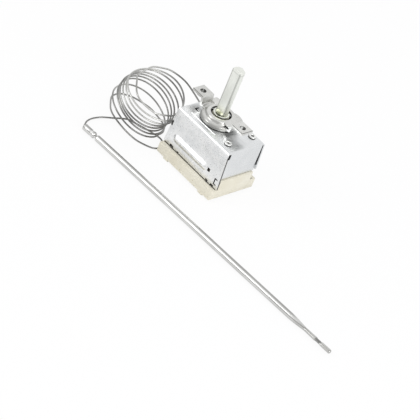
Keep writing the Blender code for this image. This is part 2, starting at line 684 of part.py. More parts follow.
def build_bracket():
    """Mounting bracket: stepped dome with two joggled tabs, each with a collared fixing hole."""
    bracket = add_object(
        "mounting_bracket", turned(dome_profile(), (SHAFT_X, SHAFT_Y), 40, True), *BRACKET_STEEL)
    arm_top = MOUNT_Z - ARM_DROP
    arm_under = arm_top - BRACKET_SHEET
    tab_under = MOUNT_Z - BRACKET_SHEET
    riser_top = RISER_FOOT + RISER_LEAN
    tab_tip = HOLE_SPACING / 2 + TAB_END
    root = DOME_RADIUS - BRACKET_SHEET * 1.4
    y0 = SHAFT_Y - TAB_WIDTH / 2
    arms = []
    collars = []
    holes = []
    for side in (-1, 1):
        outline = (
            (root, arm_top), (RISER_FOOT, arm_top), (riser_top, MOUNT_Z), (tab_tip, MOUNT_Z),
            (tab_tip, tab_under), (riser_top + BRACKET_SHEET, tab_under),
            (RISER_FOOT + BRACKET_SHEET, arm_under), (root, arm_under))
        corners = [(SHAFT_X + side * reach, y0, level) for reach, level in outline]
        arms.append(prism(corners, (0, TAB_WIDTH, 0)))
        hole_x = SHAFT_X + side * HOLE_SPACING / 2
        collars.append(disc(
            HOLE_RADIUS + COLLAR_WALL, hole_x, SHAFT_Y,
            tab_under - COLLAR_LENGTH, tab_under + BRACKET_SHEET / 2))
        holes.append(disc(
            HOLE_RADIUS, hole_x, SHAFT_Y, tab_under - COLLAR_LENGTH * 2, MOUNT_Z + BRACKET_SHEET))
    fuse(bracket, "arms", gather(arms))
    fuse(bracket, "collars", gather(collars))
    cut(bracket, "holes", gather(holes))


def build_guide():
    """Flanged sleeve in which the control shaft turns, under the bracket's dome."""
    bore = SHAFT_RADIUS + RUN
    outer = bore + SLEEVE_WALL
    profile = (
        (bore, GUIDE_BOTTOM), (GUIDE_FLANGE_RADIUS, GUIDE_BOTTOM),
        (GUIDE_FLANGE_RADIUS, GUIDE_BOTTOM + GUIDE_FLANGE_THICKNESS),
        (outer, GUIDE_BOTTOM + GUIDE_FLANGE_THICKNESS), (outer, SLEEVE_TOP - SHEET / 4),
        (outer - SHEET / 4, SLEEVE_TOP), (bore, SLEEVE_TOP))
    add_object("shaft_guide", turned(profile, (SHAFT_X, SHAFT_Y), 32, True), *BRASS)


def build_shaft():
    """Control shaft with a driving flat, a groove for its ring, a collar and a forked tail."""
    centre = (SHAFT_X, SHAFT_Y)
    groove_bottom = RING_BOTTOM - SEAT
    groove_top = RING_BOTTOM + RING_THICKNESS + SEAT
    profile = (
        (0.0, SHAFT_TIP), (SHAFT_RADIUS - SHAFT_CHAMFER, SHAFT_TIP),
        (SHAFT_RADIUS, SHAFT_TIP - SHAFT_CHAMFER), (SHAFT_RADIUS, groove_top),
        (GROOVE_RADIUS, groove_top), (GROOVE_RADIUS, groove_bottom), (SHAFT_RADIUS, groove_bottom),
        (SHAFT_RADIUS, TOP), (COLLAR_RADIUS, TOP), (COLLAR_RADIUS, TOP - SHEET),
        (SHAFT_RADIUS, TOP - SHEET), (SHAFT_RADIUS, SHAFT_BOTTOM), (0.0, SHAFT_BOTTOM))
    shaft = add_object(
        "control_shaft", turned(profile, centre, 32, False), *BRIGHT_STEEL,
        origin=(SHAFT_X, SHAFT_Y, MOUNT_Z))
    cut(shaft, "flat", box(
        SHAFT_X - 2 * SHAFT_RADIUS, SHAFT_X + 2 * SHAFT_RADIUS,
        SHAFT_Y - 2 * SHAFT_RADIUS, SHAFT_Y - SHAFT_FLAT,
        MOUNT_Z - FLAT_START, SHAFT_TIP + SHAFT_RADIUS))
    cut(shaft, "fork", box(
        SHAFT_X - 2 * COLLAR_RADIUS, SHAFT_X + 2 * COLLAR_RADIUS,
        SHAFT_Y - FORK_WIDTH / 2, SHAFT_Y + FORK_WIDTH / 2,
        SHAFT_BOTTOM - SHEET, SHAFT_BOTTOM + FORK_DEPTH))


def build_ring():
    """Open retaining ring in the shaft's groove, over the guide."""
    ring_top = RING_BOTTOM + RING_THICKNESS
    clip = add_object(
        "retaining_ring",
        ring(GROOVE_RADIUS + RUN, RING_RADIUS, SHAFT_X, SHAFT_Y, RING_BOTTOM, ring_top, 28),
        *BRIGHT_STEEL, origin=(SHAFT_X, SHAFT_Y, RING_BOTTOM))
    cut(clip, "mouth", box(
        SHAFT_X - RING_MOUTH / 2, SHAFT_X + RING_MOUTH / 2, SHAFT_Y, SHAFT_Y + 2 * RING_RADIUS,
        RING_BOTTOM - SHEET, RING_BOTTOM + SHEET * 2))


def build_screw():
    """Adjusting screw: its tongue slides in the shaft's fork, its thread runs in the bridge."""
    screw = add_object(
        "adjusting_screw",
        disc(SCREW_RADIUS, SHAFT_X, SHAFT_Y, SCREW_BOTTOM, SCREW_TOP, 24), *BRASS,
        origin=(SHAFT_X, SHAFT_Y, SCREW_TOP))
    fuse(screw, "tongue", box(
        SHAFT_X - TONGUE_WIDTH / 2, SHAFT_X + TONGUE_WIDTH / 2,
        SHAFT_Y - TONGUE_THICKNESS / 2, SHAFT_Y + TONGUE_THICKNESS / 2,
        SCREW_TOP - SHEET, SCREW_TOP + TONGUE_HEIGHT))


def build_bridge():
    """Bridge riveted under the housing's top, with the threaded boss of the adjusting screw."""
    bridge = add_object("screw_bridge", box(
        SHAFT_X - BRIDGE_LEFT, BRIDGE_X1,
        SHAFT_Y - BRIDGE_HALF_DEPTH, SHAFT_Y + BRIDGE_HALF_DEPTH, BRIDGE_BOTTOM, BRIDGE_TOP), *ZINC)
    cup_outer = CUP_BORE + CUP_WALL
    cut(bridge, "cup_hole", disc(
        (CUP_BORE + cup_outer) / 2, SHAFT_X, SHAFT_Y, BRIDGE_BOTTOM - SHEET, BRIDGE_TOP + SHEET, 32))
    bore = SCREW_RADIUS + RUN
    profile = (
        (CUP_BORE, BRIDGE_TOP - BRIDGE_SHEET / 4), (CUP_BORE, CUP_FLOOR_TOP), (bore, CUP_FLOOR_TOP),
        (bore, BOSS_BOTTOM), (bore + BOSS_WALL, BOSS_BOTTOM), (bore + BOSS_WALL, CUP_BOTTOM),
        (cup_outer, CUP_BOTTOM), (cup_outer, BRIDGE_TOP - BRIDGE_SHEET / 4))
    fuse(bridge, "cup", turned(profile, (SHAFT_X, SHAFT_Y), 32, True))
    for side in (-1, 1):
        y = SHAFT_Y + side * RIVET_SPREAD
        cut(bridge, f"rivet_hole_{side}", disc(
            RIVET_SHANK + SEAT, RIVET_X, y, BRIDGE_BOTTOM - SHEET, BRIDGE_TOP + SHEET, 16))


def build_rivets():
    """Two hollow rivets that hold the bridge to the housing's top."""
    top = TOP + SEAT
    under = BRIDGE_BOTTOM - SEAT
    profile = (
        (0.0, top - RIVET_HEAD_HEIGHT), (RIVET_SHANK * 0.6, top - RIVET_HEAD_HEIGHT),
        (RIVET_SHANK * 0.7, top + RIVET_HEAD_HEIGHT), (RIVET_SHANK * 1.3, top + RIVET_HEAD_HEIGHT),
        (RIVET_HEAD, top + RIVET_HEAD_HEIGHT * 0.4), (RIVET_HEAD, top), (RIVET_SHANK, top),
        (RIVET_SHANK, under), (RIVET_HEAD * 0.9, under), (RIVET_HEAD * 0.9, under - RIVET_HEAD_HEIGHT),
        (0.0, under - RIVET_HEAD_HEIGHT))
    for name, side in (("front", -1), ("rear", 1)):
        y = SHAFT_Y + side * RIVET_SPREAD
        add_object("housing_rivet_" + name, turned(profile, (RIVET_X, y), 20, False), *BRIGHT_STEEL)


def disc_profile(level, side):
    """Corrugated diaphragm: crowned towards one side, flat at its rim."""
    steps = 12
    near = []
    far = []
    for index in range(steps + 1):
        share = index / steps
        swell = DISC_CROWN * max(0.0, 1 - (share / 0.86) ** 2)
        wave = DISC_RIPPLE * math.sin(math.tau * DISC_RIPPLES * share) * (share < 0.86)
        height = level + side * (SEAT / 2 + swell + wave)
        near.append((DISC_RADIUS * share, height))
        far.append((DISC_RADIUS * share, height + side * DISC_SHEET))
    return far + near[::-1]


def build_capsule():
    """Diaphragm capsule with its hub: two corrugated discs joined at the rim."""
    origin = (SHAFT_X, SHAFT_Y, RIM_LEVEL)
    centre = (SHAFT_X, SHAFT_Y)
    add_object(
        "diaphragm_upper", turned(disc_profile(RIM_LEVEL, 1), centre, 28, False), *STAINLESS, origin=origin)
    add_object(
        "diaphragm_lower", turned(disc_profile(RIM_LEVEL, -1), centre, 28, False), *STAINLESS, origin=origin)
    add_object(
        "capsule_hub", disc(HUB_RADIUS, SHAFT_X, SHAFT_Y, HUB_BOTTOM, HUB_TOP, 24), *BRASS, origin=origin)
    level = (HUB_TOP + HUB_BOTTOM) / 2
    end = PORT + Vector((STUB_INSET, 0.0, PORT_Z))
    outward = Vector((end.x - SHAFT_X, end.y - SHAFT_Y, 0.0)).normalized()
    start = Vector((SHAFT_X, SHAFT_Y, level)) + outward * (HUB_RADIUS + SEAT)
    points = [start.lerp(end, share / 3) for share in range(4)]
    add_tube("capillary_stub", points, CAPILLARY_RADIUS, *STAINLESS, origin=origin)


def build_switch_arm():
    """Contact spring with its contact and the ceramic button that the capsule presses."""
    origin = (ARM_PIVOT_X, SHAFT_Y, ARM_CENTRE)
    half = ARM_WIDTH / 2
    arm = add_object("contact_spring", box(
        ARM_TIP_X, ARM_PIVOT_X + ARM_TAIL, SHAFT_Y - half, SHAFT_Y + half, ARM_BOTTOM, ARM_TOP),
        *BRASS, origin=origin)
    window_end = ARM_PIVOT_X - ARM_TAIL
    cut(arm, "window", box(
        window_end - ARM_WINDOW, window_end, SHAFT_Y - half / 2, SHAFT_Y + half / 2,
        ARM_BOTTOM - SHEET, ARM_TOP + SHEET))
    low = ARM_TOP + SEAT
    button = (
        (0.0, BUTTON_TOP), (BUTTON_STEM * 0.6, BUTTON_TOP), (BUTTON_STEM, BUTTON_TOP - BUTTON_STEM / 2),
        (BUTTON_STEM, low + BUTTON_STEM), (BUTTON_RADIUS, low + BUTTON_STEM * 0.6),
        (BUTTON_RADIUS, low), (0.0, low))
    add_object(
        "ceramic_button", turned(button, (SHAFT_X, SHAFT_Y), 20, False), *CERAMIC, origin=origin)
    add_object(
        "moving_contact", disc(CONTACT_RADIUS, CONTACT_X, SHAFT_Y, low, CONTACT_TOP, 20), *SILVER,
        origin=origin)


def build_fixed_contact():
    """Fixed contact above the moving one, on its hooked carrier."""
    add_object(
        "fixed_contact", disc(CONTACT_RADIUS, CONTACT_X, SHAFT_Y, FIXED_BOTTOM, FIXED_TOP, 20), *SILVER)
    foot_bottom = STRIP_TOP + SEAT
    foot_top = foot_bottom + STRIP_THICKNESS
    lip_bottom = FIXED_TOP + SEAT
    lip_top = lip_bottom + STRIP_THICKNESS
    back = CONTACT_X - BRACKET_BACK
    inner = back + STRIP_THICKNESS
    foot_end = LOAD_X + BRACKET_LIP
    lip_end = CONTACT_X + BRACKET_LIP
    outline = (
        (back, foot_bottom), (foot_end, foot_bottom), (foot_end, foot_top), (inner, foot_top),
        (inner, lip_bottom), (lip_end, lip_bottom), (lip_end, lip_top), (back, lip_top))
    half = ARM_WIDTH / 2 - SEAT
    corners = [(x, SHAFT_Y - half, z) for x, z in outline]
    add_object("contact_carrier", prism(corners, (0, half * 2, 0)), *BRASS)


def blade_outline(x, inner_left, inner_right, inner_y, shoulder_y):
    """Terminal strip in plan: inner plate in the pocket, blade with a pointed end behind."""
    half = TAB_BLADE / 2
    end = BASE_DEPTH / 2 + TAB_REACH
    return (
        (inner_left, inner_y), (inner_right, inner_y), (inner_right, shoulder_y), (x + half, shoulder_y),
        (x + half, end - TAB_POINT), (x + half - TAB_POINT, end), (x - half + TAB_POINT, end),
        (x - half, end - TAB_POINT), (x - half, shoulder_y), (inner_left, shoulder_y))


def build_terminals():
    """Two flat blades that leave the rear of the base, riveted to its floor."""
    inner_y = SHAFT_Y - STRIP_INNER
    shoulder_y = SHAFT_Y + POCKET_HALF_DEPTH - SEAT
    half = TAB_BLADE / 2
    post_right = ARM_PIVOT_X + ARM_TAIL + POST_LEG
    places = (
        ("load", LOAD_X, LOAD_X - half - SEAT, LOAD_X + half + SEAT),
        ("common", COMMON_X, COMMON_X - half - SEAT, post_right))
    for name, x, left, right in places:
        plan = blade_outline(x, left, right, inner_y, shoulder_y)
        corners = [(px, py, STRIP_BOTTOM) for px, py in plan]
        blade = add_object("terminal_" + name, prism(corners, (0, 0, STRIP_THICKNESS)), *BRASS)
        hole_y = BASE_DEPTH / 2 + TAB_REACH / 2
        cut(blade, "eye", disc(TAB_HOLE, x, hole_y, STRIP_BOTTOM - SHEET, STRIP_TOP + SHEET, 16))
        cut(blade, "rivet_hole", disc(
            TERMINAL_SHANK + SEAT, x, SHAFT_Y + RIVET_Y, STRIP_BOTTOM - SHEET, STRIP_TOP + SHEET, 16))
        if name == "common":
            add_post(blade, post_right)
    build_terminal_rivets()


def add_post(blade, post_right):
    """Bent-up post of the common terminal, which carries the contact spring."""
    post_top = ARM_BOTTOM - SEAT
    post_left = ARM_PIVOT_X - ARM_TAIL
    low = STRIP_BOTTOM + STRIP_THICKNESS / 2
    outline = (
        (post_right, low), (post_right, post_top), (post_left, post_top),
        (post_left, post_top - POST_LEG), (post_right - POST_LEG, post_top - POST_LEG),
        (post_right - POST_LEG, low))
    half = ARM_WIDTH / 2
    corners = [(x, SHAFT_Y - half, z) for x, z in outline]
    fuse(blade, "post", prism(corners, (0, ARM_WIDTH, 0)))


def build_terminal_rivets():
    low = FLANGE_BOTTOM + SCREW_WELL_DEPTH - SEAT
    high = STRIP_TOP + SEAT
    profile = (
        (0.0, high + TERMINAL_HEAD_HEIGHT), (TERMINAL_HEAD * 0.7, high + TERMINAL_HEAD_HEIGHT),
        (TERMINAL_HEAD, high), (TERMINAL_SHANK, high), (TERMINAL_SHANK, low), (TERMINAL_HEAD, low),
        (TERMINAL_HEAD, low - TERMINAL_HEAD_HEIGHT), (0.0, low - TERMINAL_HEAD_HEIGHT))
    for name, x in (("load", LOAD_X), ("common", COMMON_X)):
        add_object(
            "terminal_rivet_" + name, turned(profile, (x, SHAFT_Y + RIVET_Y), 20, False), *BRASS)


def build_capillary():
    """Free capillary: the lead from the housing, the coil as one turned ring, and the tail."""
    add_tube("capillary_lead", smooth_route(LEAD_POINTS, TUBE_STEP), CAPILLARY_RADIUS, *STAINLESS)
    inner = COIL_RADIUS - CAPILLARY_RADIUS
    outer = COIL_RADIUS + CAPILLARY_RADIUS
    top = -COIL_PITCH + CAPILLARY_RADIUS
    bottom = -COIL_PITCH * COIL_TURNS - CAPILLARY_RADIUS
    profile = (
        (inner, top), (inner + COIL_SPREAD, bottom), (outer + COIL_SPREAD, bottom), (outer, top))
    coil = turned(profile, (0.0, 0.0), 40, True)
    lean = Vector((COIL_LEAN, 0.0, 1.0)).to_track_quat('Z', 'Y').to_matrix()
    bmesh.ops.rotate(coil, verts=coil.verts, cent=(0, 0, 0), matrix=lean)
    bmesh.ops.translate(coil, verts=coil.verts, vec=PORT + COIL_TOP)
    add_object("capillary_coil", coil, *STAINLESS)
    add_tube("capillary_tail", smooth_route(TAIL_POINTS, TUBE_STEP), CAPILLARY_RADIUS, *STAINLESS)


def lay_down(mesh):
    """Turns a body drawn upright from z = 0 to lie along the bulb's line on the floor."""
    bmesh.ops.rotate(mesh, verts=mesh.verts, cent=(0, 0, 0), matrix=Matrix.Rotation(math.pi / 2, 3, 'Y'))
    yaw = Matrix.Rotation(math.radians(BULB_YAW_DEGREES), 3, 'Z')
    bmesh.ops.rotate(mesh, verts=mesh.verts, cent=(0, 0, 0), matrix=yaw)
    bmesh.ops.translate(mesh, verts=mesh.verts, vec=PORT + BULB_START)
    return mesh


def build_bulb():
    """Sensing bulb: swaged end with the neck, long tube with a tapered end, and crimped fill tip."""
    edge = BULB_RADIUS * 0.2
    swage = (
        (0.0, 0.0), (BULB_RADIUS - edge, 0.0), (BULB_RADIUS, edge), (BULB_RADIUS, SWAGE_LENGTH - edge),
        (NECK_RADIUS, SWAGE_LENGTH), (NECK_RADIUS, SWAGE_LENGTH + NECK_GAP - SEAT),
        (0.0, SWAGE_LENGTH + NECK_GAP - SEAT))
    add_object("bulb_swage", lay_down(turned(swage, (0, 0), 24, False)), *STAINLESS)
    start = SWAGE_LENGTH + NECK_GAP
    end = start + BULB_LENGTH
    nose = end + SHOULDER_LENGTH
    tube = (
        (0.0, start), (BULB_RADIUS - edge, start), (BULB_RADIUS, start + edge), (BULB_RADIUS, end),
        (BULB_RADIUS * 0.9, end + SHOULDER_LENGTH * 0.4), (TIP_RADIUS + edge / 2, nose), (0.0, nose))
    add_object("bulb_tube", lay_down(turned(tube, (0, 0), 24, False)), *STAINLESS)
    first = nose + SEAT
    last = first + TIP_LENGTH
    tip = (
        (0.0, first), (TIP_RADIUS, first), (TIP_RADIUS, last - TIP_RADIUS * 0.6),
        (TIP_RADIUS * 0.6, last), (0.0, last))
    end_piece = add_object("bulb_tip", lay_down(turned(tip, (0, 0), 20, False)), *STAINLESS)
    for side in (-1, 1):
        near, far = sorted((side * CRIMP_HALF_HEIGHT, side * TIP_RADIUS * 2))
        pinch = first + CRIMP_START
        jaw = box(near, far, -TIP_RADIUS * 2, TIP_RADIUS * 2, pinch, pinch + CRIMP_LENGTH)
        cut(end_piece, f"crimp_{side}", lay_down(jaw))


def main():
    clear_scene()
    build_base()
    build_housing()
    build_bracket()
    build_guide()
    build_shaft()
    build_ring()
    build_screw()
    build_bridge()
    build_rivets()
    build_capsule()
    build_switch_arm()
    build_fixed_contact()
    build_terminals()
    build_capillary()
    build_bulb()


main()
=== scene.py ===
"""Oven thermostat: the dressed model and the photograph's view of it.

Places are given in millimetres in the part's own drawing frame, whose centre is that of the
ceramic base, and at() turns them into the shared frame's metres.
"""
import math

import bmesh
import bpy
from mathutils import Matrix, Vector


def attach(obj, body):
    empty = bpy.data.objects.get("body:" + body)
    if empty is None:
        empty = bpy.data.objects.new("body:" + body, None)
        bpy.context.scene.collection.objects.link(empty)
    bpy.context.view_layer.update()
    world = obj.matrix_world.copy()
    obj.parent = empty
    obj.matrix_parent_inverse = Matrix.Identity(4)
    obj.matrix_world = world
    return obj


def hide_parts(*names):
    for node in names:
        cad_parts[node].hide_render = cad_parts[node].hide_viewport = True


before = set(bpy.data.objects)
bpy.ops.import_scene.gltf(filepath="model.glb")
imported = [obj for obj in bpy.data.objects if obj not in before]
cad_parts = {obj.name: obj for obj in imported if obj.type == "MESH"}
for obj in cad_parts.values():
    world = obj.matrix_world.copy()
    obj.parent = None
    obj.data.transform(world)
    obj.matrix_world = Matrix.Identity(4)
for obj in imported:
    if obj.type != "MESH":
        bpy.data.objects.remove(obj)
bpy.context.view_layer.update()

MM = 0.001
DRAWING = Vector((1.025, -3.95, 0.0))
WHITE = (1.0, 1.0, 1.0, 1.0)

# Sizes that several pieces share
HALF_LENGTH = 17.8
HALF_DEPTH = 11.8
SHEET = 0.8
INNER_Y = HALF_DEPTH - SHEET
FLARE = 18.95
TOP = 27.0
UNDER_TOP = TOP - SHEET
FLAP_BOTTOM = 6.6
WALL_BOTTOM = 11.5
SHAFT = (-3.65, 0.9)
SHAFT_TIP = 56.2
PORT = (-HALF_LENGTH, 8.5)
PORT_LEVEL = 18.5
TAB_TOP = 33.2
TAB_END = 17.35
TAB_HALF_WIDTH = 3.6


def at(x, y, z):
    """A place in the drawing's millimetres, as the shared frame's metres."""
    return (Vector((x, y, z)) + DRAWING) * MM


def drawn(place):
    """A place in the shared frame's metres, as the drawing's millimetres."""
    return place / MM - DRAWING


# Camera

CAMERA_RIGHT = Vector((0.6363, 0.7022, 0.3195)).normalized()
CAMERA_BACK = Vector((0.45157, -0.67478, 0.58374)).normalized()
CAMERA_UP = CAMERA_BACK.cross(CAMERA_RIGHT).normalized()
CAMERA_DISTANCE = 1200.0
CAMERA_SHIFT_RIGHT = 3.015
CAMERA_SHIFT_UP = -18.394
FOCAL_PIXELS = 2609.18
PHOTO_WIDTH = 420
SENSOR_WIDTH = 36.0
NEAR_CLIP = 0.05
FAR_CLIP = 20.0


def make_camera():
    """The photograph's camera, solved from the corners of the body, the holes and the shaft."""
    data = bpy.data.cameras.new("camera")
    data.sensor_width = SENSOR_WIDTH
    data.lens = FOCAL_PIXELS * SENSOR_WIDTH / PHOTO_WIDTH
    data.clip_start = NEAR_CLIP
    data.clip_end = FAR_CLIP
    camera = bpy.data.objects.new("camera", data)
    place = (
        CAMERA_BACK * CAMERA_DISTANCE + CAMERA_RIGHT * CAMERA_SHIFT_RIGHT
        + CAMERA_UP * CAMERA_SHIFT_UP)
    turn = Matrix((CAMERA_RIGHT, CAMERA_UP, CAMERA_BACK)).transposed()
    camera.matrix_world = Matrix.Translation(at(*place)) @ turn.to_4x4()
    bpy.context.collection.objects.link(camera)
    bpy.context.scene.camera = camera


# Materials

# Sockets of a colour mix, which share their names with the node's other sockets
MIX_FIRST = 6
MIX_SECOND = 7
MIX_RESULT = 2


class Shader:
    """A Principled material and the few nodes that vary it over the surface."""

    def __init__(self, name, roughness, metallic, coat=0.0):
        self.material = bpy.data.materials.new(name)
        self.material.use_nodes = True
        self.tree = self.material.node_tree
        self.main = self.tree.nodes["Principled BSDF"]
        self.main.inputs["Roughness"].default_value = roughness
        self.main.inputs["Metallic"].default_value = metallic
        self.main.inputs["Coat Weight"].default_value = coat
        self.place = self.tree.nodes.new("ShaderNodeTexCoord").outputs["Object"]

    def link(self, source, target):
        self.tree.links.new(source, target)

    def stretched(self, scale):
        """The place on the object, scaled along each axis."""
        node = self.tree.nodes.new("ShaderNodeMapping")
        node.inputs["Scale"].default_value = scale
        self.link(self.place, node.inputs["Vector"])
        return node.outputs["Vector"]

    def noise(self, scale, detail=3.0, vector=None, rough=0.5):
        node = self.tree.nodes.new("ShaderNodeTexNoise")
        node.inputs["Scale"].default_value = scale
        node.inputs["Detail"].default_value = detail
        node.inputs["Roughness"].default_value = rough
        self.link(vector or self.place, node.inputs["Vector"])
        return node.outputs["Fac"]

    def cells(self, scale):
        node = self.tree.nodes.new("ShaderNodeTexVoronoi")
        node.inputs["Scale"].default_value = scale
        self.link(self.place, node.inputs["Vector"])
        return node.outputs["Distance"]

    def levels(self, value, low, high, to_low, to_high):
        """A value between low and high as one between to_low and to_high, held at both ends."""
        node = self.tree.nodes.new("ShaderNodeMapRange")
        for name, number in (
                ("From Min", low), ("From Max", high), ("To Min", to_low), ("To Max", to_high)):
            node.inputs[name].default_value = number
        self.link(value, node.inputs["Value"])
        return node.outputs["Result"]

    def fade(self, axis, start, end, at_start, at_end):
        """A share that changes between two places on an axis, in the drawing's millimetres."""
        node = self.tree.nodes.new("ShaderNodeSeparateXYZ")
        self.link(self.place, node.inputs["Vector"])
        shift = DRAWING["XYZ".index(axis)]
        return self.levels(
            node.outputs[axis], (start + shift) * MM, (end + shift) * MM, at_start, at_end)

    def product(self, first, second):
        node = self.tree.nodes.new("ShaderNodeMath")
        node.operation = 'MULTIPLY'
        self.link(first, node.inputs[0])
        self.link(second, node.inputs[1])
        return node.outputs["Value"]

    def reach(self, x, y):
        """How far a point lies from an upright line, in metres."""
        node = self.tree.nodes.new("ShaderNodeVectorMath")
        node.operation = 'DISTANCE'
        self.link(self.stretched((1.0, 1.0, 0.0)), node.inputs[0])
        node.inputs[1].default_value = at(x, y, 0.0)
        return node.outputs["Value"]

    def spot(self, x, y, inner, outer, share=1.0):
        """A share round an upright line, which fades between two radii in millimetres."""
        return self.levels(self.reach(x, y), inner * MM, outer * MM, share, 0.0)

    def bands(self, part, whole, stops):
        """Shares at given millimetres of a whole, of which part runs from 0 to 1."""
        node = self.tree.nodes.new("ShaderNodeValToRGB")
        self.link(part, node.inputs["Fac"])
        steps = node.color_ramp.elements
        while len(steps) < len(stops):
            steps.new(1.0)
        for step, (place, share) in zip(steps, stops):
            step.position = place / whole
            step.color = (share, share, share, 1.0)
        return node.outputs["Color"]

    def axis_bands(self, axis, whole, stops):
        """Shares at given places on an axis, in the drawing's millimetres."""
        return self.bands(self.fade(axis, 0.0, whole, 0.0, 1.0), whole, stops)

    def ring_bands(self, whole, stops):
        """Shares at given radii about the shaft, in millimetres."""
        part = self.levels(self.reach(*SHAFT), 0.0, whole * MM, 0.0, 1.0)
        return self.bands(part, whole, stops)

    def blend(self, share, first, second):
        """A mix of two colours, or of the outputs of two earlier mixes."""
        node = self.tree.nodes.new("ShaderNodeMix")
        node.data_type = 'RGBA'
        self.link(share, node.inputs["Factor"])
        for value, socket in ((first, MIX_FIRST), (second, MIX_SECOND)):
            if isinstance(value, tuple):
                node.inputs[socket].default_value = (*value, 1.0)
            else:
                self.link(value, node.inputs[socket])
        return node.outputs[MIX_RESULT]

    def colour(self, source):
        self.link(source, self.main.inputs["Base Color"])

    def cover(self, share, colour):
        """Lays another colour over the surface's colour so far."""
        first = self.main.inputs["Base Color"].links[0].from_socket
        self.colour(self.blend(share, first, colour))

    def roughness(self, source):
        self.link(source, self.main.inputs["Roughness"])

    def bump(self, source, strength, height):
        """Adds relief of a height in millimetres to the relief so far."""
        node = self.tree.nodes.new("ShaderNodeBump")
        node.inputs["Strength"].default_value = strength
        node.inputs["Distance"].default_value = height * MM
        self.link(source, node.inputs["Height"])
        previous = self.main.inputs["Normal"]
        if previous.is_linked:
            self.link(previous.links[0].from_socket, node.inputs["Normal"])
        self.link(node.outputs["Normal"], previous)


def metal(name, dark, light, stain, smooth, rough, grain=(1.0, 1.0, 1.0), speckle=0.66, bump=0.10):
    """Sheet or turned metal: cloudy colour, small specks, drawn grain, uneven roughness."""
    shader = Shader(name, rough, 1.0)
    clouds = shader.levels(shader.noise(70.0, 4.0), 0.35, 0.65, 0.0, 1.0)
    base = shader.blend(clouds, dark, light)
    specks = shader.levels(shader.noise(1500.0, 2.0, rough=0.6), speckle, speckle + 0.07, 0.0, 0.75)
    shader.colour(shader.blend(specks, base, stain))
    drawn_grain = shader.noise(420.0, 4.0, shader.stretched(grain), 0.62)
    shader.roughness(shader.levels(drawn_grain, 0.3, 0.7, smooth, rough))
    shader.bump(drawn_grain, bump, 0.12)
    shader.bump(shader.noise(2600.0, 2.0), bump * 0.7, 0.04)
    return shader


def zinc_material():
    """Zinc-coated sheet; the front flap is etched, lighter and full of small specks."""
    shader = metal(
        "zinc_skin", dark=(0.71, 0.725, 0.735), light=(0.80, 0.81, 0.815), stain=(0.50, 0.51, 0.52),
        smooth=0.22, rough=0.40, grain=(0.25, 1.0, 1.0), speckle=0.68)
    front = shader.fade("Y", -HALF_DEPTH - 0.05, -HALF_DEPTH + 0.55, 1.0, 0.0)
    etched = shader.levels(shader.noise(480.0, 3.0), 0.40, 0.62, 0.15, 0.75)
    shader.cover(shader.product(front, etched), (0.89, 0.89, 0.885))
    specks = shader.levels(shader.noise(1400.0, 2.0, rough=0.6), 0.60, 0.68, 0.0, 0.8)
    shader.cover(shader.product(front, specks), (0.42, 0.42, 0.42))
    return shader


def bracket_material():
    """Steel with painted shade round the shaft hole and in the steps of the dome's front, and painted
    dark lines along the tabs' edges.
    """
    shader = metal(
        "bracket_skin", dark=(0.59, 0.59, 0.575), light=(0.72, 0.72, 0.70), stain=(0.30, 0.30, 0.285),
        smooth=0.22, rough=0.40, grain=(1.0, 0.3, 1.0), speckle=0.63)
    painted_shade_colour = (0.27, 0.27, 0.255)
    # Painted shade round the rim of the shaft hole.
    hole_rim_shade = shader.ring_bands(12.0, ((4.9, 0.7), (5.3, 0.0)))
    shader.cover(hole_rim_shade, painted_shade_colour)
    # Painted shade in the recesses of the dome's steps, only on its low front side.
    steps = shader.ring_bands(12.0, (
        (6.3, 0.0), (6.9, 0.75), (7.3, 0.6), (7.6, 0.0), (8.2, 0.1),
        (8.75, 0.75), (9.15, 0.75), (9.4, 0.0)))
    low = shader.fade("Z", 30.5, 30.8, 1.0, 0.0)
    front = shader.fade("Y", -1.05, 2.75, 1.0, 0.0)
    shader.cover(shader.product(shader.product(low, front), steps), painted_shade_colour)
    # Painted shade: dark lines along the tabs' front and right edges.
    tab_top = shader.fade("Z", TAB_TOP - 0.08, TAB_TOP - 0.02, 0.0, 1.0)
    front_edge = SHAFT[1] - TAB_HALF_WIDTH
    right_edge = SHAFT[0] + TAB_END
    for axis, inside, border in (
            ("Y", front_edge + 0.53, front_edge + 0.27), ("X", right_edge - 0.545, right_edge - 0.275)):
        edge = shader.fade(axis, inside, border, 0.0, 0.95)
        shader.cover(shader.product(tab_top, edge), (0.20, 0.20, 0.19))
    return shader


def shaft_material():
    """Pale turned steel: a tinted foot with a painted shadow where the flat ends, dark edges on the
    flat, a darker tip.

    They are whiter, with painted shade round their feet.
    """
    shader = metal(
        "shaft_skin", dark=(0.76, 0.775, 0.73), light=(0.83, 0.845, 0.80), stain=(0.55, 0.56, 0.52),
        smooth=0.34, rough=0.52, grain=(1.0, 1.0, 0.15))
    foot = shader.axis_bands("Z", 60.0, ((0.0, 0.0), (31.3, 0.0), (31.5, 0.7), (36.5, 0.0)))
    shader.cover(foot, (0.90, 0.91, 0.74))
    # Painted shadow at the foot of the flat, where it steps down to the round.
    low = shader.axis_bands("Z", 60.0, ((31.2, 0.0), (31.35, 0.85), (32.1, 0.85), (32.7, 0.0)))
    near = shader.spot(SHAFT[0] + 0.3, SHAFT[1] - 2.8, 0.8, 1.7)
    shader.cover(shader.product(low, near), (0.22, 0.23, 0.15))
    shader.cover(shader.fade("Z", 28.1, 28.3, 0.8, 0.0), (0.86, 0.865, 0.86))
    # Painted shade under the rivets' heads and in their hollow middles.
    shader.cover(shader.fade("Z", 27.3, 27.6, 0.85, 0.0), (0.30, 0.30, 0.29))
    flat_y = SHAFT[1] - 1.6
    for side in (-1, 1):
        edge = shader.spot(SHAFT[0] + side * 2.54, flat_y, 0.3, 0.6, 0.55)
        shader.cover(edge, (0.30, 0.31, 0.29))
    tip = shader.axis_bands("Z", 60.0, (
        (SHAFT_TIP - 2.0, 0.0), (SHAFT_TIP - 1.5, 0.45), (SHAFT_TIP - 1.0, 0.0)))
    shader.cover(tip, (0.42, 0.43, 0.40))
    return shader


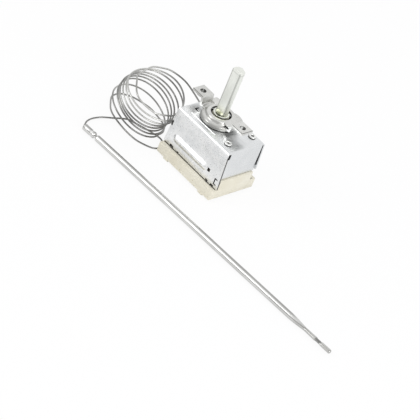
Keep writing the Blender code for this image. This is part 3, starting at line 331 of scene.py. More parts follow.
def brass_material():
    """Dull brass, with near-black painted shade in the gap round the shaft's guide."""
    shader = metal(
        "brass_skin", dark=(0.50, 0.495, 0.39), light=(0.64, 0.635, 0.51), stain=(0.30, 0.28, 0.20),
        smooth=0.24, rough=0.40)
    # Painted shade: near black in the gap round the shaft's guide.
    gap_shade = shader.axis_bands("Z", 60.0, ((26.5, 0.0), (27.2, 0.95), (29.4, 0.95), (30.3, 0.0)))
    shader.cover(gap_shade, (0.04, 0.04, 0.035))
    return shader


def capillary_material():
    """Drawn tube with painted highlights on some lengths, fewer on the wires near the floor, so that
    dark and bright lengths follow each other.
    """
    shader = metal(
        "capillary_skin", dark=(0.17, 0.17, 0.163), light=(0.27, 0.268, 0.26), stain=(0.14, 0.14, 0.135),
        smooth=0.24, rough=0.34, speckle=0.95, bump=0.0)
    # Painted highlights on lengths of the tube, weaker on the low wires near the floor as painted shade.
    painted_highlights = shader.levels(shader.noise(38.0, 1.0), 0.42, 0.60, 0.0, 0.85)
    highlight_height_share = shader.fade("Z", 3.0, 7.0, 0.25, 1.0)
    shader.cover(shader.product(highlight_height_share, painted_highlights), (0.60, 0.60, 0.58))
    return shader


def bulb_material():
    """Drawn tube with long marks, painted shade in bands by height round it as it lies with a highlight
    streak left between, darker towards its crimped tip.
    """
    shader = metal(
        "bulb_skin", dark=(0.66, 0.66, 0.65), light=(0.76, 0.76, 0.75), stain=(0.42, 0.42, 0.41),
        smooth=0.16, rough=0.26, grain=(0.1, 1.0, 1.0), speckle=0.75, bump=0.01)
    # Painted shade and reflection in bands by height round the lying tube, with an unshaded highlight
    # streak near the top.
    painted_height_shading = shader.axis_bands("Z", 3.3, (
        (0.0, 0.9), (0.5, 0.75), (1.2, 0.2), (2.05, 0.1), (2.2, 0.95), (2.4, 0.9), (2.52, 0.0),
        (2.95, 0.0), (3.1, 0.6), (3.2, 0.8)))
    shader.cover(painted_height_shading, (0.24, 0.24, 0.23))
    nose_x = 102.975
    shader.cover(shader.fade("X", nose_x - 10.0, nose_x, 0.0, 0.55), (0.40, 0.40, 0.385))
    crimp_x = 111.175
    crimp = shader.axis_bands("X", 120.0, (
        (crimp_x - 1.9, 0.0), (crimp_x - 1.0, 0.85), (crimp_x + 1.0, 0.85), (crimp_x + 1.8, 0.0)))
    shader.cover(crimp, (0.17, 0.17, 0.165))
    marks = shader.noise(900.0, 2.0, shader.stretched((0.02, 1.0, 1.0)))
    shader.cover(shader.levels(marks, 0.55, 0.7, 0.0, 0.4), (0.34, 0.34, 0.33))
    return shader


def ceramic_material():
    """Cream ceramic with clouds, brown stains and open pores."""
    shader = Shader("ceramic_skin", roughness=0.5, metallic=0.0, coat=0.05)
    clouds = shader.levels(shader.noise(110.0, 4.0), 0.35, 0.68, 0.0, 1.0)
    base = shader.blend(clouds, (0.74, 0.70, 0.57), (0.80, 0.77, 0.655))
    stains = shader.levels(shader.noise(260.0, 3.0, rough=0.7), 0.66, 0.78, 0.0, 0.6)
    base = shader.blend(stains, base, (0.64, 0.585, 0.46))
    pores = shader.levels(shader.cells(620.0), 0.04, 0.12, 0.55, 0.0)
    shader.colour(shader.blend(pores, base, (0.45, 0.40, 0.30)))
    shader.roughness(shader.levels(shader.noise(900.0, 3.0), 0.3, 0.7, 0.38, 0.62))
    shader.bump(shader.noise(1900.0, 4.0, rough=0.6), 0.16, 0.1)
    shader.bump(shader.cells(620.0), 0.08, 0.08)
    return shader


def make_materials():
    """The finished material of each slot, and a near-black material that paints shade on the faces in
    cuts and grooves.
    """
    shaders = {
        "ceramic": ceramic_material(),
        "zinc_sheet": zinc_material(),
        "bracket_steel": bracket_material(),
        "shaft_steel": shaft_material(),
        "brass": brass_material(),
        "capillary_steel": capillary_material(),
        "bulb_steel": bulb_material(),
        "silver": metal(
            "silver_skin", dark=(0.78, 0.77, 0.75), light=(0.88, 0.87, 0.85),
            stain=(0.55, 0.53, 0.50), smooth=0.2, rough=0.35),
        # Painted shade: a near-black material laid on faces in cuts, holes and grooves, where shade
        # falls.
        "painted_shade": metal(
            "painted_shade_skin", dark=(0.10, 0.10, 0.095), light=(0.16, 0.155, 0.15),
            stain=(0.06, 0.055, 0.05), smooth=0.4, rough=0.6),
    }
    return {slot: shader.material for slot, shader in shaders.items()}


# Floor, sky and lamps, in metres and watts

FLOOR_REACH = 2.5
FLOOR_DROP = 0.0001
FLOOR_COLOUR = (0.92, 0.92, 0.92, 1.0)
FLOOR_ROUGHNESS = 0.9
FLOOR_GLOW = 0.9
HORIZON = (0.05, (0.40, 0.40, 0.41, 1.0))
ZENITH = (0.55, (0.98, 0.98, 1.0, 1.0))
SKY_STRENGTH = 0.92
SOFTBOX_POWER = 3.0
SOFTBOXES = (
    ("softbox_front", (-0.55, -0.95, 0.58), (0.45, 0.80)),
    ("softbox_right", (0.95, -0.20, 0.40), (0.6, 0.4)),
)


def seen_directly(tree):
    """1 for the camera and for mirror and glass rays, 0 for the light that falls on things."""
    path = tree.nodes.new("ShaderNodeLightPath")
    total = path.outputs["Is Camera Ray"]
    for name in ("Is Glossy Ray", "Is Transmission Ray"):
        node = tree.nodes.new("ShaderNodeMath")
        node.operation = 'ADD'
        node.use_clamp = True
        tree.links.new(total, node.inputs[0])
        tree.links.new(path.outputs[name], node.inputs[1])
        total = node.outputs["Value"]
    return total


def mix_shaders(tree, share, first, second, output):
    """Blends two shaders by a share and leads the result to an output node."""
    mix = tree.nodes.new("ShaderNodeMixShader")
    tree.links.new(share, mix.inputs["Fac"])
    tree.links.new(first, mix.inputs[1])
    tree.links.new(second, mix.inputs[2])
    tree.links.new(mix.outputs["Shader"], tree.nodes[output].inputs["Surface"])


def make_floor():
    """A matt floor that glows white where it is seen directly."""
    mesh = bmesh.new()
    bmesh.ops.create_grid(mesh, x_segments=8, y_segments=8, size=FLOOR_REACH)
    bmesh.ops.translate(mesh, verts=mesh.verts, vec=(0.0, 0.0, -FLOOR_DROP))
    data = bpy.data.meshes.new("floor")
    mesh.to_mesh(data)
    mesh.free()
    floor = bpy.data.objects.new("floor", data)
    bpy.context.collection.objects.link(floor)
    material = bpy.data.materials.new("floor_white")
    material.use_nodes = True
    tree = material.node_tree
    shader = tree.nodes["Principled BSDF"]
    shader.inputs["Base Color"].default_value = FLOOR_COLOUR
    shader.inputs["Roughness"].default_value = FLOOR_ROUGHNESS
    glow = tree.nodes.new("ShaderNodeEmission")
    glow.inputs["Color"].default_value = WHITE
    share = tree.nodes.new("ShaderNodeMath")
    share.operation = 'MULTIPLY'
    share.inputs[1].default_value = FLOOR_GLOW
    tree.links.new(seen_directly(tree), share.inputs[0])
    mix_shaders(
        tree, share.outputs["Value"], shader.outputs["BSDF"], glow.outputs["Emission"],
        "Material Output")
    data.materials.append(material)


def make_world():
    """White for the camera and in mirrors; a bright sky over a darker horizon lights the rest."""
    world = bpy.data.worlds.new("studio")
    bpy.context.scene.world = world
    world.use_nodes = True
    tree = world.node_tree
    sky = tree.nodes["Background"]
    place = tree.nodes.new("ShaderNodeTexCoord")
    parts = tree.nodes.new("ShaderNodeSeparateXYZ")
    tree.links.new(place.outputs["Generated"], parts.inputs["Vector"])
    ramp = tree.nodes.new("ShaderNodeValToRGB")
    tree.links.new(parts.outputs["Z"], ramp.inputs["Fac"])
    for stop, (height, colour) in zip(ramp.color_ramp.elements, (HORIZON, ZENITH)):
        stop.position = height
        stop.color = colour
    tree.links.new(ramp.outputs["Color"], sky.inputs["Color"])
    sky.inputs["Strength"].default_value = SKY_STRENGTH
    white = tree.nodes.new("ShaderNodeBackground")
    white.inputs["Color"].default_value = WHITE
    mix_shaders(
        tree, seen_directly(tree), sky.outputs["Background"], white.outputs["Background"],
        "World Output")


def make_lamps():
    """Two large soft lamps, turned to the frame's middle."""
    for name, place, (width, height) in SOFTBOXES:
        data = bpy.data.lights.new(name, 'AREA')
        data.shape = 'RECTANGLE'
        data.size = width
        data.size_y = height
        data.energy = SOFTBOX_POWER
        lamp = bpy.data.objects.new(name, data)
        lamp.location = place
        lamp.rotation_euler = (-Vector(place)).to_track_quat('-Z', 'Y').to_euler()
        bpy.context.collection.objects.link(lamp)


# Helpers for the pieces

# Points that lie closer than these distances in metres become one
WELD = 1e-6
AXIS_WELD = 1e-7

# Faces that differ by less than the first angle become one, and edges over the second are eased
FLAT_ANGLE = math.radians(0.4)
EDGE_ANGLE = math.radians(38.0)
EDGE_STEPS = 2


def add_piece(name, mesh, body, slot, materials, nodes, angle):
    """A finished mesh as a piece that rides on a body and stands for its CAD nodes.

    Edges that turn by more than the angle, in degrees, stay sharp.
    """
    data = bpy.data.meshes.new(name)
    mesh.to_mesh(data)
    mesh.free()
    data.materials.append(materials[slot])
    data.shade_smooth()
    data.set_sharp_from_angle(angle=math.radians(angle))
    piece = bpy.data.objects.new(name, data)
    bpy.context.collection.objects.link(piece)
    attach(piece, body)
    if nodes:
        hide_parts(*nodes)
    return piece


def add_skin(node, mesh, body, slot, materials, angle=35.0):
    """A finished mesh that stands for one CAD node and takes its name."""
    return add_piece(node + "_skin", mesh, body, slot, materials, [node], angle)


def round_edges(piece, width):
    """Eases the edges of a piece by a width in millimetres, where the piece has room for it."""
    modifier = piece.modifiers.new("edges", 'BEVEL')
    modifier.width = width * MM
    modifier.segments = EDGE_STEPS
    modifier.limit_method = 'ANGLE'
    modifier.angle_limit = EDGE_ANGLE
    modifier.harden_normals = True


def node_mesh(node):
    """A CAD node's shape, welded, with its flat areas as whole faces."""
    mesh = bmesh.new()
    mesh.from_mesh(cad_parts[node].data)
    bmesh.ops.remove_doubles(mesh, verts=mesh.verts, dist=WELD)
    bmesh.ops.dissolve_limit(
        mesh, angle_limit=FLAT_ANGLE, verts=mesh.verts, edges=mesh.edges, delimit={'NORMAL'})
    bmesh.ops.recalc_face_normals(mesh, faces=mesh.faces)
    return mesh


def dress(node, body, slot, materials, width=0.0):
    """A CAD node's own shape with a finished material, its edges eased where a width is given."""
    piece = add_skin(node, node_mesh(node), body, slot, materials)
    if width:
        round_edges(piece, width)


def turned(profile, centre, segments=64, closed=False):
    """A profile of (radius, height) in millimetres, spun about an upright line."""
    mesh = bmesh.new()
    ring = [mesh.verts.new((radius * MM, 0.0, height * MM)) for radius, height in profile]
    edges = [mesh.edges.new(pair) for pair in zip(ring, ring[1:])]
    if closed:
        edges.append(mesh.edges.new((ring[-1], ring[0])))
    bmesh.ops.spin(
        mesh, geom=ring + edges, cent=(0.0, 0.0, 0.0), axis=(0.0, 0.0, 1.0),
        angle=math.tau, steps=segments, use_merge=True, use_duplicate=False)
    bmesh.ops.remove_doubles(mesh, verts=mesh.verts, dist=AXIS_WELD)
    bmesh.ops.recalc_face_normals(mesh, faces=mesh.faces)
    bmesh.ops.translate(mesh, vec=at(*centre), verts=mesh.verts)
    return mesh


def block(x0, x1, y0, y1, z0, z1):
    """A box between two corners in millimetres."""
    mesh = bmesh.new()
    bmesh.ops.create_cube(mesh, size=1.0)
    bmesh.ops.scale(mesh, vec=Vector((x1 - x0, y1 - y0, z1 - z0)) * MM, verts=mesh.verts)
    centre = at((x0 + x1) / 2, (y0 + y1) / 2, (z0 + z1) / 2)
    bmesh.ops.translate(mesh, vec=centre, verts=mesh.verts)
    return mesh


def prism(corners, push):
    """A closed outline of points in millimetres, pushed along a direction."""
    mesh = bmesh.new()
    face = mesh.faces.new([mesh.verts.new(at(*corner)) for corner in corners])
    grown = bmesh.ops.extrude_face_region(mesh, geom=[face])
    moved = [item for item in grown["geom"] if isinstance(item, bmesh.types.BMVert)]
    bmesh.ops.translate(mesh, vec=Vector(push) * MM, verts=moved)
    bmesh.ops.recalc_face_normals(mesh, faces=mesh.faces)
    return mesh


def rod(radius, centre, half, axis='Z', segments=40):
    """A cylinder in millimetres about its middle, upright or along X."""
    mesh = bmesh.new()
    bmesh.ops.create_cone(
        mesh, cap_ends=True, segments=segments, radius1=radius * MM, radius2=radius * MM,
        depth=2 * half * MM)
    if axis == 'X':
        turn = Matrix.Rotation(math.pi / 2, 3, 'Y')
        bmesh.ops.rotate(mesh, verts=mesh.verts, cent=(0, 0, 0), matrix=turn)
    bmesh.ops.translate(mesh, vec=at(*centre), verts=mesh.verts)
    return mesh


def join_rows(mesh, rows):
    """Faces between each two neighbours of a list of closed rows of points."""
    for low, high in zip(rows, rows[1:]):
        for step, corner in enumerate(low):
            after = (step + 1) % len(low)
            mesh.faces.new((corner, low[after], high[after], high[step]))


def bend_top(mesh, level, radius, segments):
    """Rounds the edges of a solid that lie at one level."""
    height = level * MM
    edges = [
        edge for edge in mesh.edges
        if all(abs(end.co.z - height) < WELD for end in edge.verts)]
    bmesh.ops.bevel(
        mesh, geom=edges, offset=radius * MM, segments=segments, profile=0.5, affect='EDGES')


def shape(mesh):
    """A mesh as a bare object, for carve alone."""
    data = bpy.data.meshes.new("shape")
    mesh.to_mesh(data)
    mesh.free()
    thing = bpy.data.objects.new("shape", data)
    bpy.context.collection.objects.link(thing)
    return thing


def carve(solid, added=(), removed=()):
    """One solid with others joined to it and cut from it."""
    things = [shape(solid)]
    for meshes, operation in ((added, 'UNION'), (removed, 'DIFFERENCE')):
        for mesh in meshes:
            things.append(shape(mesh))
            modifier = things[0].modifiers.new("carve", 'BOOLEAN')
            modifier.operation = operation
            modifier.solver = 'EXACT'
            modifier.object = things[-1]
    graph = bpy.context.evaluated_depsgraph_get()
    data = bpy.data.meshes.new_from_object(things[0].evaluated_get(graph))
    result = bmesh.new()
    result.from_mesh(data)
    bpy.data.meshes.remove(data)
    for thing in things:
        bpy.data.objects.remove(thing, do_unlink=True)
    bmesh.ops.remove_doubles(result, verts=result.verts, dist=WELD)
    bmesh.ops.dissolve_limit(
        result, angle_limit=FLAT_ANGLE, verts=result.verts, edges=result.edges)
    return result


# Capillary

# Places along X and Y from the port in the housing, and above the floor
LEAD = (
    (2.0, 0.0, 18.5), (-0.7, 0.3, 18.9), (-7.6, 0.9, 20.6), (-13.4, 0.5, 22.7),
    (-16.7, -0.4, 24.0), (-20.2, -2.4, 25.3), (-23.4, -5.3, 26.5), (-25.3, -9.0, 27.2),
    (-26.5, -12.0, 27.6), (-27.0, -14.2, 27.7), (-26.6, -17.7, 27.6), (-25.1, -24.5, 27.0),
    (-23.0, -26.6, 26.2), (-20.0, -29.0, 25.0), (-17.3, -30.6, 24.0), (-14.9, -31.0, 23.0),
    (-12.2, -30.4, 22.0), (-9.5, -29.1, 20.9), (-7.7, -27.8, 20.2), (-5.9, -25.9, 19.4),
)
TAIL = (
    (-8.4, -15.6, 2.0), (-9.5, -11.5, 1.5), (-11.8, -8.4, 1.3), (-14.7, -6.2, 1.1),
    (-21.0, -4.6, 0.7), (-27.0, -4.0, 0.55),
    (-33.8, -5.8, 0.5), (-37.5, -7.8, 0.5), (-40.7, -11.6, 0.5), (-40.8, -15.4, 0.5),
    (-40.0, -17.7, 0.5), (-36.5, -21.2, 0.5), (-32.3, -24.5, 0.5), (-26.7, -26.5, 0.5),
    (-18.4, -27.7, 0.5), (-11.2, -27.4, 0.5), (-6.1, -25.3, 0.5), (-2.6, -22.5, 0.5),
    (-2.2, -19.0, 0.5), (-3.7, -16.0, 0.5), (-7.2, -14.5, 0.5), (-13.2, -16.0, 0.5),
    (-20.2, -19.0, 0.5), (-23.2, -21.7, 1.2), (-24.6, -26.3, 2.0), (-25.4, -28.5, 2.0),
    (-27.3, -31.1, 1.6), (-29.4, -34.1, 0.9), (-30.25, -38.3, 0.6), (-29.4, -42.2, 0.8),
    (-27.5, -45.2, 1.3), (-26.25, -47.0, 1.6), (-25.6, -47.0, 1.6),
)

# The coil's axis leans, and its turns run round it from its top down
COIL_TOP = Vector((-34.34, -9.07, 23.73))
COIL_AXIS = Vector((0.3511, 0.0075, 0.9363)).normalized()
COIL_ACROSS = Vector((0.9363, 0.0, -0.3511)).normalized()
COIL_ALONG = COIL_AXIS.cross(COIL_ACROSS)

# Angles round the coil, in degrees
COIL_START = -5.0
COIL_STEP = 15.0
QUARTER_TURN = 90.0

# The tube's diameter, and the steps between two places of its route
CAPILLARY_DIAMETER = 0.8
ROUTE_STEPS = 4

# How far down the coil's axis and how wide the hand-wound turns lie, at each quarter turn
COIL_DROPS = (
    0.5, 0.7, 3.9, 2.2, 1.6, 3.5, 4.8, 4.9, 5.6, 7.4, 8.1, 8.2, 9.0, 10.1, 10.4, 10.3,
    11.3, 12.2, 12.0, 11.6, 13.5, 14.7, 13.6, 12.4, 15.2, 19.9, 19.1, 15.0, 16.8)
COIL_RADII = (
    14.2, 13.9, 13.1, 15.3, 16.1, 14.2, 13.3, 14.7, 15.5, 14.5, 13.9, 14.1, 14.5, 14.5, 14.4, 14.3,
    14.3, 14.2, 14.2, 14.3, 14.5, 13.9, 13.8, 14.8, 15.3, 14.3, 14.0, 15.4, 15.9)


def through(before, start, end, after, t):
    """A point, or a number, on the smooth curve from start to end."""
    return 0.5 * (
        2 * start + (end - before) * t
        + (2 * before - 5 * start + 4 * end - after) * t ** 2
        + (3 * start - before - 3 * end + after) * t ** 3)


def smooth_line(knots, steps):
    """A smooth curve through every knot, with even steps between each two."""
    knots = [knots[0] * 2 - knots[1]] + list(knots) + [knots[-1] * 2 - knots[-2]]
    line = []
    for near in zip(knots, knots[1:], knots[2:], knots[3:]):
        line += [through(*near, index / steps) for index in range(steps)]
    line.append(knots[-2])
    return line


def coil_points():
    """The wound turns, from the top one down."""
    steps = round(QUARTER_TURN / COIL_STEP)
    drops = smooth_line(COIL_DROPS, steps)
    radii = smooth_line(COIL_RADII, steps)
    points = []
    for index, (drop, radius) in enumerate(zip(drops, radii)):
        angle = math.radians(COIL_START + index * COIL_STEP)
        outward = COIL_ACROSS * math.cos(angle) + COIL_ALONG * math.sin(angle)
        points.append(COIL_TOP - COIL_AXIS * drop + outward * radius)
    return points


def from_port(points):
    """Points given from the port, as places in the drawing."""
    return [Vector((PORT[0] + x, PORT[1] + y, z)) for x, y, z in points]


def make_capillary(materials):
    """The one long tube from the housing over the hand-wound coil to the bulb's swaged end."""
    line = smooth_line(from_port(LEAD) + coil_points() + from_port(TAIL), ROUTE_STEPS)
    data = bpy.data.curves.new("capillary", 'CURVE')
    data.dimensions = '3D'
    spline = data.splines.new('POLY')
    spline.points.add(len(line) - 1)
    for target, point in zip(spline.points, line):
        target.co = (*at(*point), 1.0)
    spline.use_smooth = True
    data.bevel_depth = CAPILLARY_DIAMETER / 2 * MM
    data.bevel_resolution = 3
    data.use_fill_caps = True
    data.materials.append(materials["capillary_steel"])
    capillary = bpy.data.objects.new("capillary", data)
    bpy.context.collection.objects.link(capillary)
    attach(capillary, "base")
    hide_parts("capillary_lead", "capillary_coil", "capillary_tail")


# Bulb

BULB_START = at(PORT[0] - 25.95, PORT[1] - 47.0, 1.6)
BULB_YAW = 3.0
BULB_RADIUS = 1.57
TUBE_START = 8.7
TUBE_END = TUBE_START + 134.5
NOSE = TUBE_END + 3.2

# Profiles of (radius, place along the bulb)
SWAGE = (
    (0.0, 0.35), (0.62, 0.35), (0.72, 0.0), (1.2, 0.0), (1.45, 0.12), (BULB_RADIUS, 0.35),
    (BULB_RADIUS, 4.6), (1.45, 4.85), (1.38, 5.25), (1.45, 5.65), (BULB_RADIUS, 5.9),
    (BULB_RADIUS, 6.85), (1.5, 7.05), (1.25, 7.25), (0.95, 7.4), (0.88, 7.6), (0.88, 8.25),
    (0.84, 8.36), (0.0, 8.38),
)
TUBE = (
    (0.0, TUBE_START), (1.2, TUBE_START), (1.42, TUBE_START + 0.08), (1.54, TUBE_START + 0.25),
    (BULB_RADIUS, TUBE_START + 0.5), (BULB_RADIUS, TUBE_END - 6.0), (1.52, TUBE_END - 4.4),
    (1.43, TUBE_END - 2.8), (1.3, TUBE_END - 1.1), (1.14, TUBE_END + 0.7),
    (0.99, TUBE_END + 2.3), (0.9, NOSE), (0.0, NOSE),
)

# The fill tip, from the nose on: it widens, is pinched about the crimp and has a round end
TIP_LENGTH = 16.4
TIP_RADIUS = 1.0
TIP_NECK_RADIUS = 0.86
TIP_NECK_LENGTH = 7.0
TIP_ROUND = 0.8
TIP_ROUND_RADIUS = 0.82
TIP_END = 0.02
CRIMP_PLACE = 8.9
CRIMP_HALF_LENGTH = 1.9
CRIMP_SLOPE = 0.55
CRIMP_DEPTH = 0.46
CRIMP_NARROWING = 0.02
TIP_RINGS = 57
TIP_SIDES = 32


def lay_down(mesh):
    """Turns a mesh drawn upright from the drawing's middle to lie along the bulb's line."""
    bmesh.ops.translate(mesh, verts=mesh.verts, vec=-at(0, 0, 0))
    turn = Matrix.Rotation(math.radians(BULB_YAW), 3, 'Z') @ Matrix.Rotation(math.pi / 2, 3, 'Y')
    bmesh.ops.rotate(mesh, verts=mesh.verts, cent=(0, 0, 0), matrix=turn)
    bmesh.ops.translate(mesh, verts=mesh.verts, vec=BULB_START)
    return mesh


def tip_ring(along):
    """The half axes of the fill tip's section at a place along it."""
    widening = (TIP_RADIUS - TIP_NECK_RADIUS) * min(1.0, along / TIP_NECK_LENGTH)
    radius = TIP_NECK_RADIUS + widening
    into_end = along - TIP_LENGTH + TIP_ROUND
    if into_end > 0:
        radius = TIP_RADIUS * math.sqrt(max(TIP_END, 1.0 - (into_end / TIP_ROUND_RADIUS) ** 2))
    pinch = min(1.0, max(0.0, CRIMP_HALF_LENGTH - abs(along - CRIMP_PLACE)) / CRIMP_SLOPE)
    return radius * (1.0 - CRIMP_DEPTH * pinch), radius * (1.0 - CRIMP_NARROWING * pinch)


def tip_mesh(first):
    """The fill tip, upright, from its start at the nose to its closed end."""
    mesh = bmesh.new()
    rows = []
    for index in range(TIP_RINGS):
        along = TIP_LENGTH * index / (TIP_RINGS - 1)
        flat, wide = tip_ring(along)
        row = []
        for step in range(TIP_SIDES):
            angle = math.tau * step / TIP_SIDES
            row.append(mesh.verts.new((
                flat * math.cos(angle) * MM, wide * math.sin(angle) * MM, (first + along) * MM)))
        rows.append(row)
    join_rows(mesh, rows)
    mesh.faces.new(rows[0])
    mesh.faces.new(rows[-1])
    bmesh.ops.recalc_face_normals(mesh, faces=mesh.faces)
    bmesh.ops.translate(mesh, verts=mesh.verts, vec=at(0, 0, 0))
    return mesh


def make_bulb(materials):
    """The bulb's tube, fill tip and swaged end, which the capillary runs into."""
    tube = lay_down(turned(TUBE, (0, 0, 0)))
    add_skin("bulb_tube", tube, "base", "bulb_steel", materials)
    tip = lay_down(tip_mesh(NOSE - 0.1))
    add_skin("bulb_tip", tip, "base", "bulb_steel", materials, angle=50.0)
    swage = lay_down(turned(SWAGE, (0, 0, 0), segments=48))
    return add_skin("bulb_swage", swage, "base", "bulb_steel", materials)


# Housing

FLARE_TOP = TOP - 2.2
BELOW_FLAP = FLAP_BOTTOM - SHEET
OUTER_BEND = 1.2
INNER_BEND = 0.8
THROUGH_FRONT = (-HALF_DEPTH - SHEET, -INNER_Y + SHEET)

# The end walls: slits beside the flaps, notches at the bends and the rear flap's cut corner
FRONT_SLIT = 0.18
REAR_SLIT = 0.75
REAR_SLIT_BOTTOM = TOP - 12.5
SLIT_TOP = TOP - 0.7
BEND_NOTCH_Y = (-INNER_Y - 0.5, -INNER_Y + 1.1)
BEND_NOTCH_BOTTOM = FLARE_TOP - 1.4
REAR_CORNER_TOP = 12.6
FOOT_NOTCHES_Y = (-INNER_Y + 0.3, INNER_Y - 1.1)
FOOT_NOTCH_WIDTH = 0.8
FOOT_NOTCH_TOP = WALL_BOTTOM + 0.35

# The front flap: holes and slots by their extents, notches by left end, width and height
GAUGE_HOLE_X = (9.7, 11.5)
GAUGE_HOLE_Z = (11.35, 13.15)
EDGE_SLOT_X = (-HALF_LENGTH - 0.4, -HALF_LENGTH + 0.5)
EDGE_SLOT_Y = (-HALF_DEPTH - SHEET, -HALF_DEPTH + 0.45)
EDGE_SLOT_Z = (16.1, 18.9)
EDGE_NOTCHES = ((-14.6, 2.3, 1.0), (-9.6, 1.2, 0.5), (10.8, 1.6, 0.9), (14.4, 1.9, 0.8))
LANCE_LEFT = 15.6
LANCE_BOTTOM = 8.0
LANCE_WIDTH = 1.8
LANCE_OUTLINE = (
    (0.0, 0.0), (LANCE_WIDTH, 0.0), (LANCE_WIDTH, 0.6), (0.65, 0.6), (0.65, 2.9),
    (LANCE_WIDTH, 2.9), (LANCE_WIDTH, 3.5), (0.0, 3.5),
)

# The top: its hook-shaped slot, a shallow pressed line and the holes
HOOK_CORNER = (-14.2, -5.2)
HOOK_OUTLINE = ((0.0, 0.0), (2.6, 0.0), (2.6, 0.7), (0.7, 0.7), (0.7, 2.6), (0.0, 2.6))
LINE_START = -12.6
LINE_LENGTH = 17.0
LINE_SECTION = ((-8.5, TOP), (-8.78, TOP - 0.28), (-9.06, TOP), (-8.78, TOP + 0.3))
SHAFT_HOLE_RADIUS = 4.2
RIVET_HOLE_RADIUS = 1.3
PORT_HOLE_RADIUS = 1.1
RIVET_X = 11.6
RIVET_SPREAD = 7.8
RIVET = (
    (0.0, 26.6), (0.35, 26.6), (0.62, 26.75), (0.72, 27.2), (0.82, 27.62), (1.0, 27.78),
    (1.3, 27.8), (1.6, 27.7), (1.82, 27.5), (1.9, 27.32), (1.86, 27.3), (1.0, 27.3),
    (1.0, 24.4), (1.7, 24.4), (1.7, 24.0), (0.0, 23.9),
)

# The clips that hold the base, and the pressed rib of the front flap
CLIP_X = 12.2
CLIP_Y = 11.4
CLIP_HALF_WIDTH = 1.2
CLIP_HALF_DEPTH = 0.25
CLIP_DROP = 1.5
RIB_LENGTH = 24.6
RIB_HEIGHT = 5.2
RIB_X = -2.4
RIB_Z = 12.2
RIB_RISE = 0.95
RIB_SINK = 0.05
RIB_NARROWING = 0.97
RIB_STEPS = 28
RIB_RINGS = 14


def end_walls():
    """Cuts that part the two short walls from the long flaps, with the notches at the bends."""
    cutters = []
    for side in (-1, 1):
        outside = side * (FLARE + SHEET)
        face = sorted((side * HALF_LENGTH, outside))
        cutters.append(block(*face, -INNER_Y, INNER_Y, BELOW_FLAP, FLARE_TOP))
        wall = sorted((side * (HALF_LENGTH - SHEET * 1.5), outside))
        below_wall = WALL_BOTTOM - SHEET
        cutters.append(block(*wall, -INNER_Y, INNER_Y, BELOW_FLAP, WALL_BOTTOM))
        cutters.append(block(*wall, -INNER_Y, -INNER_Y + FRONT_SLIT, below_wall, FLARE_TOP))
        cutters.append(block(*wall, *BEND_NOTCH_Y, BEND_NOTCH_BOTTOM, SLIT_TOP))
        cutters.append(block(*wall, INNER_Y - REAR_SLIT, INNER_Y, REAR_SLIT_BOTTOM, SLIT_TOP))
        cutters.append(block(*wall, INNER_Y - 0.1, HALF_DEPTH + SHEET, BELOW_FLAP, REAR_CORNER_TOP))
        for y in FOOT_NOTCHES_Y:
            cutters.append(block(*wall, y, y + FOOT_NOTCH_WIDTH, below_wall, FOOT_NOTCH_TOP))
    return cutters


def front_cuts():
    """Gauge hole, edge notches, lanced corner and edge slot in the front flap."""
    cutters = [block(*GAUGE_HOLE_X, *THROUGH_FRONT, *GAUGE_HOLE_Z)]
    for left, wide, tall in EDGE_NOTCHES:
        cutters.append(block(left, left + wide, *THROUGH_FRONT, BELOW_FLAP, FLAP_BOTTOM + tall))
    lance = [(LANCE_LEFT + x, THROUGH_FRONT[0], LANCE_BOTTOM + z) for x, z in LANCE_OUTLINE]
    cutters.append(prism(lance, (0, 3 * SHEET, 0)))
    cutters.append(block(*EDGE_SLOT_X, *EDGE_SLOT_Y, *EDGE_SLOT_Z))
    return cutters


def top_cuts():
    """Hook-shaped slot, shaft and rivet holes and a pressed line in the top."""
    hook = [(HOOK_CORNER[0] + x, HOOK_CORNER[1] + y, UNDER_TOP - SHEET) for x, y in HOOK_OUTLINE]
    line = [(LINE_START, y, z) for y, z in LINE_SECTION]
    cutters = [
        prism(hook, (0, 0, 3 * SHEET)),
        rod(SHAFT_HOLE_RADIUS, (*SHAFT, UNDER_TOP), 2 * SHEET),
        prism(line, (LINE_LENGTH, 0, 0)),
    ]
    for side in (-1, 1):
        centre = (RIVET_X, SHAFT[1] + side * RIVET_SPREAD, UNDER_TOP)
        cutters.append(rod(RIVET_HOLE_RADIUS, centre, 2 * SHEET))
    return cutters


def clip(side_x, side_y):
    """One of the four clips on the flaps' lower edges."""
    x = side_x * CLIP_X
    y = side_y * CLIP_Y
    return block(
        x - CLIP_HALF_WIDTH, x + CLIP_HALF_WIDTH, y - CLIP_HALF_DEPTH, y + CLIP_HALF_DEPTH,
        FLAP_BOTTOM - CLIP_DROP, FLAP_BOTTOM + SHEET)


def housing_mesh():
    """The folded sheet: a hollow block with bent edges, less its cuts, with its clips."""
    outline = (
        (-FLARE, FLAP_BOTTOM), (FLARE, FLAP_BOTTOM), (HALF_LENGTH, FLARE_TOP), (HALF_LENGTH, TOP),
        (-HALF_LENGTH, TOP), (-HALF_LENGTH, FLARE_TOP))
    solid = prism([(x, -HALF_DEPTH, z) for x, z in outline], (0, 2 * HALF_DEPTH, 0))
    bend_top(solid, TOP, OUTER_BEND, segments=8)
    inner = block(
        -HALF_LENGTH + SHEET, HALF_LENGTH - SHEET, -INNER_Y, INNER_Y, BELOW_FLAP, UNDER_TOP)
    bend_top(inner, UNDER_TOP, INNER_BEND, segments=4)
    port = rod(PORT_HOLE_RADIUS, (PORT[0] + SHEET / 2, PORT[1], PORT_LEVEL), 2 * SHEET, 'X', segments=24)
    clips = [clip(side_x, side_y) for side_x in (-1, 1) for side_y in (-1, 1)]
    cuts = [inner, *end_walls(), *front_cuts(), *top_cuts(), port]
    return carve(solid, added=clips, removed=cuts)


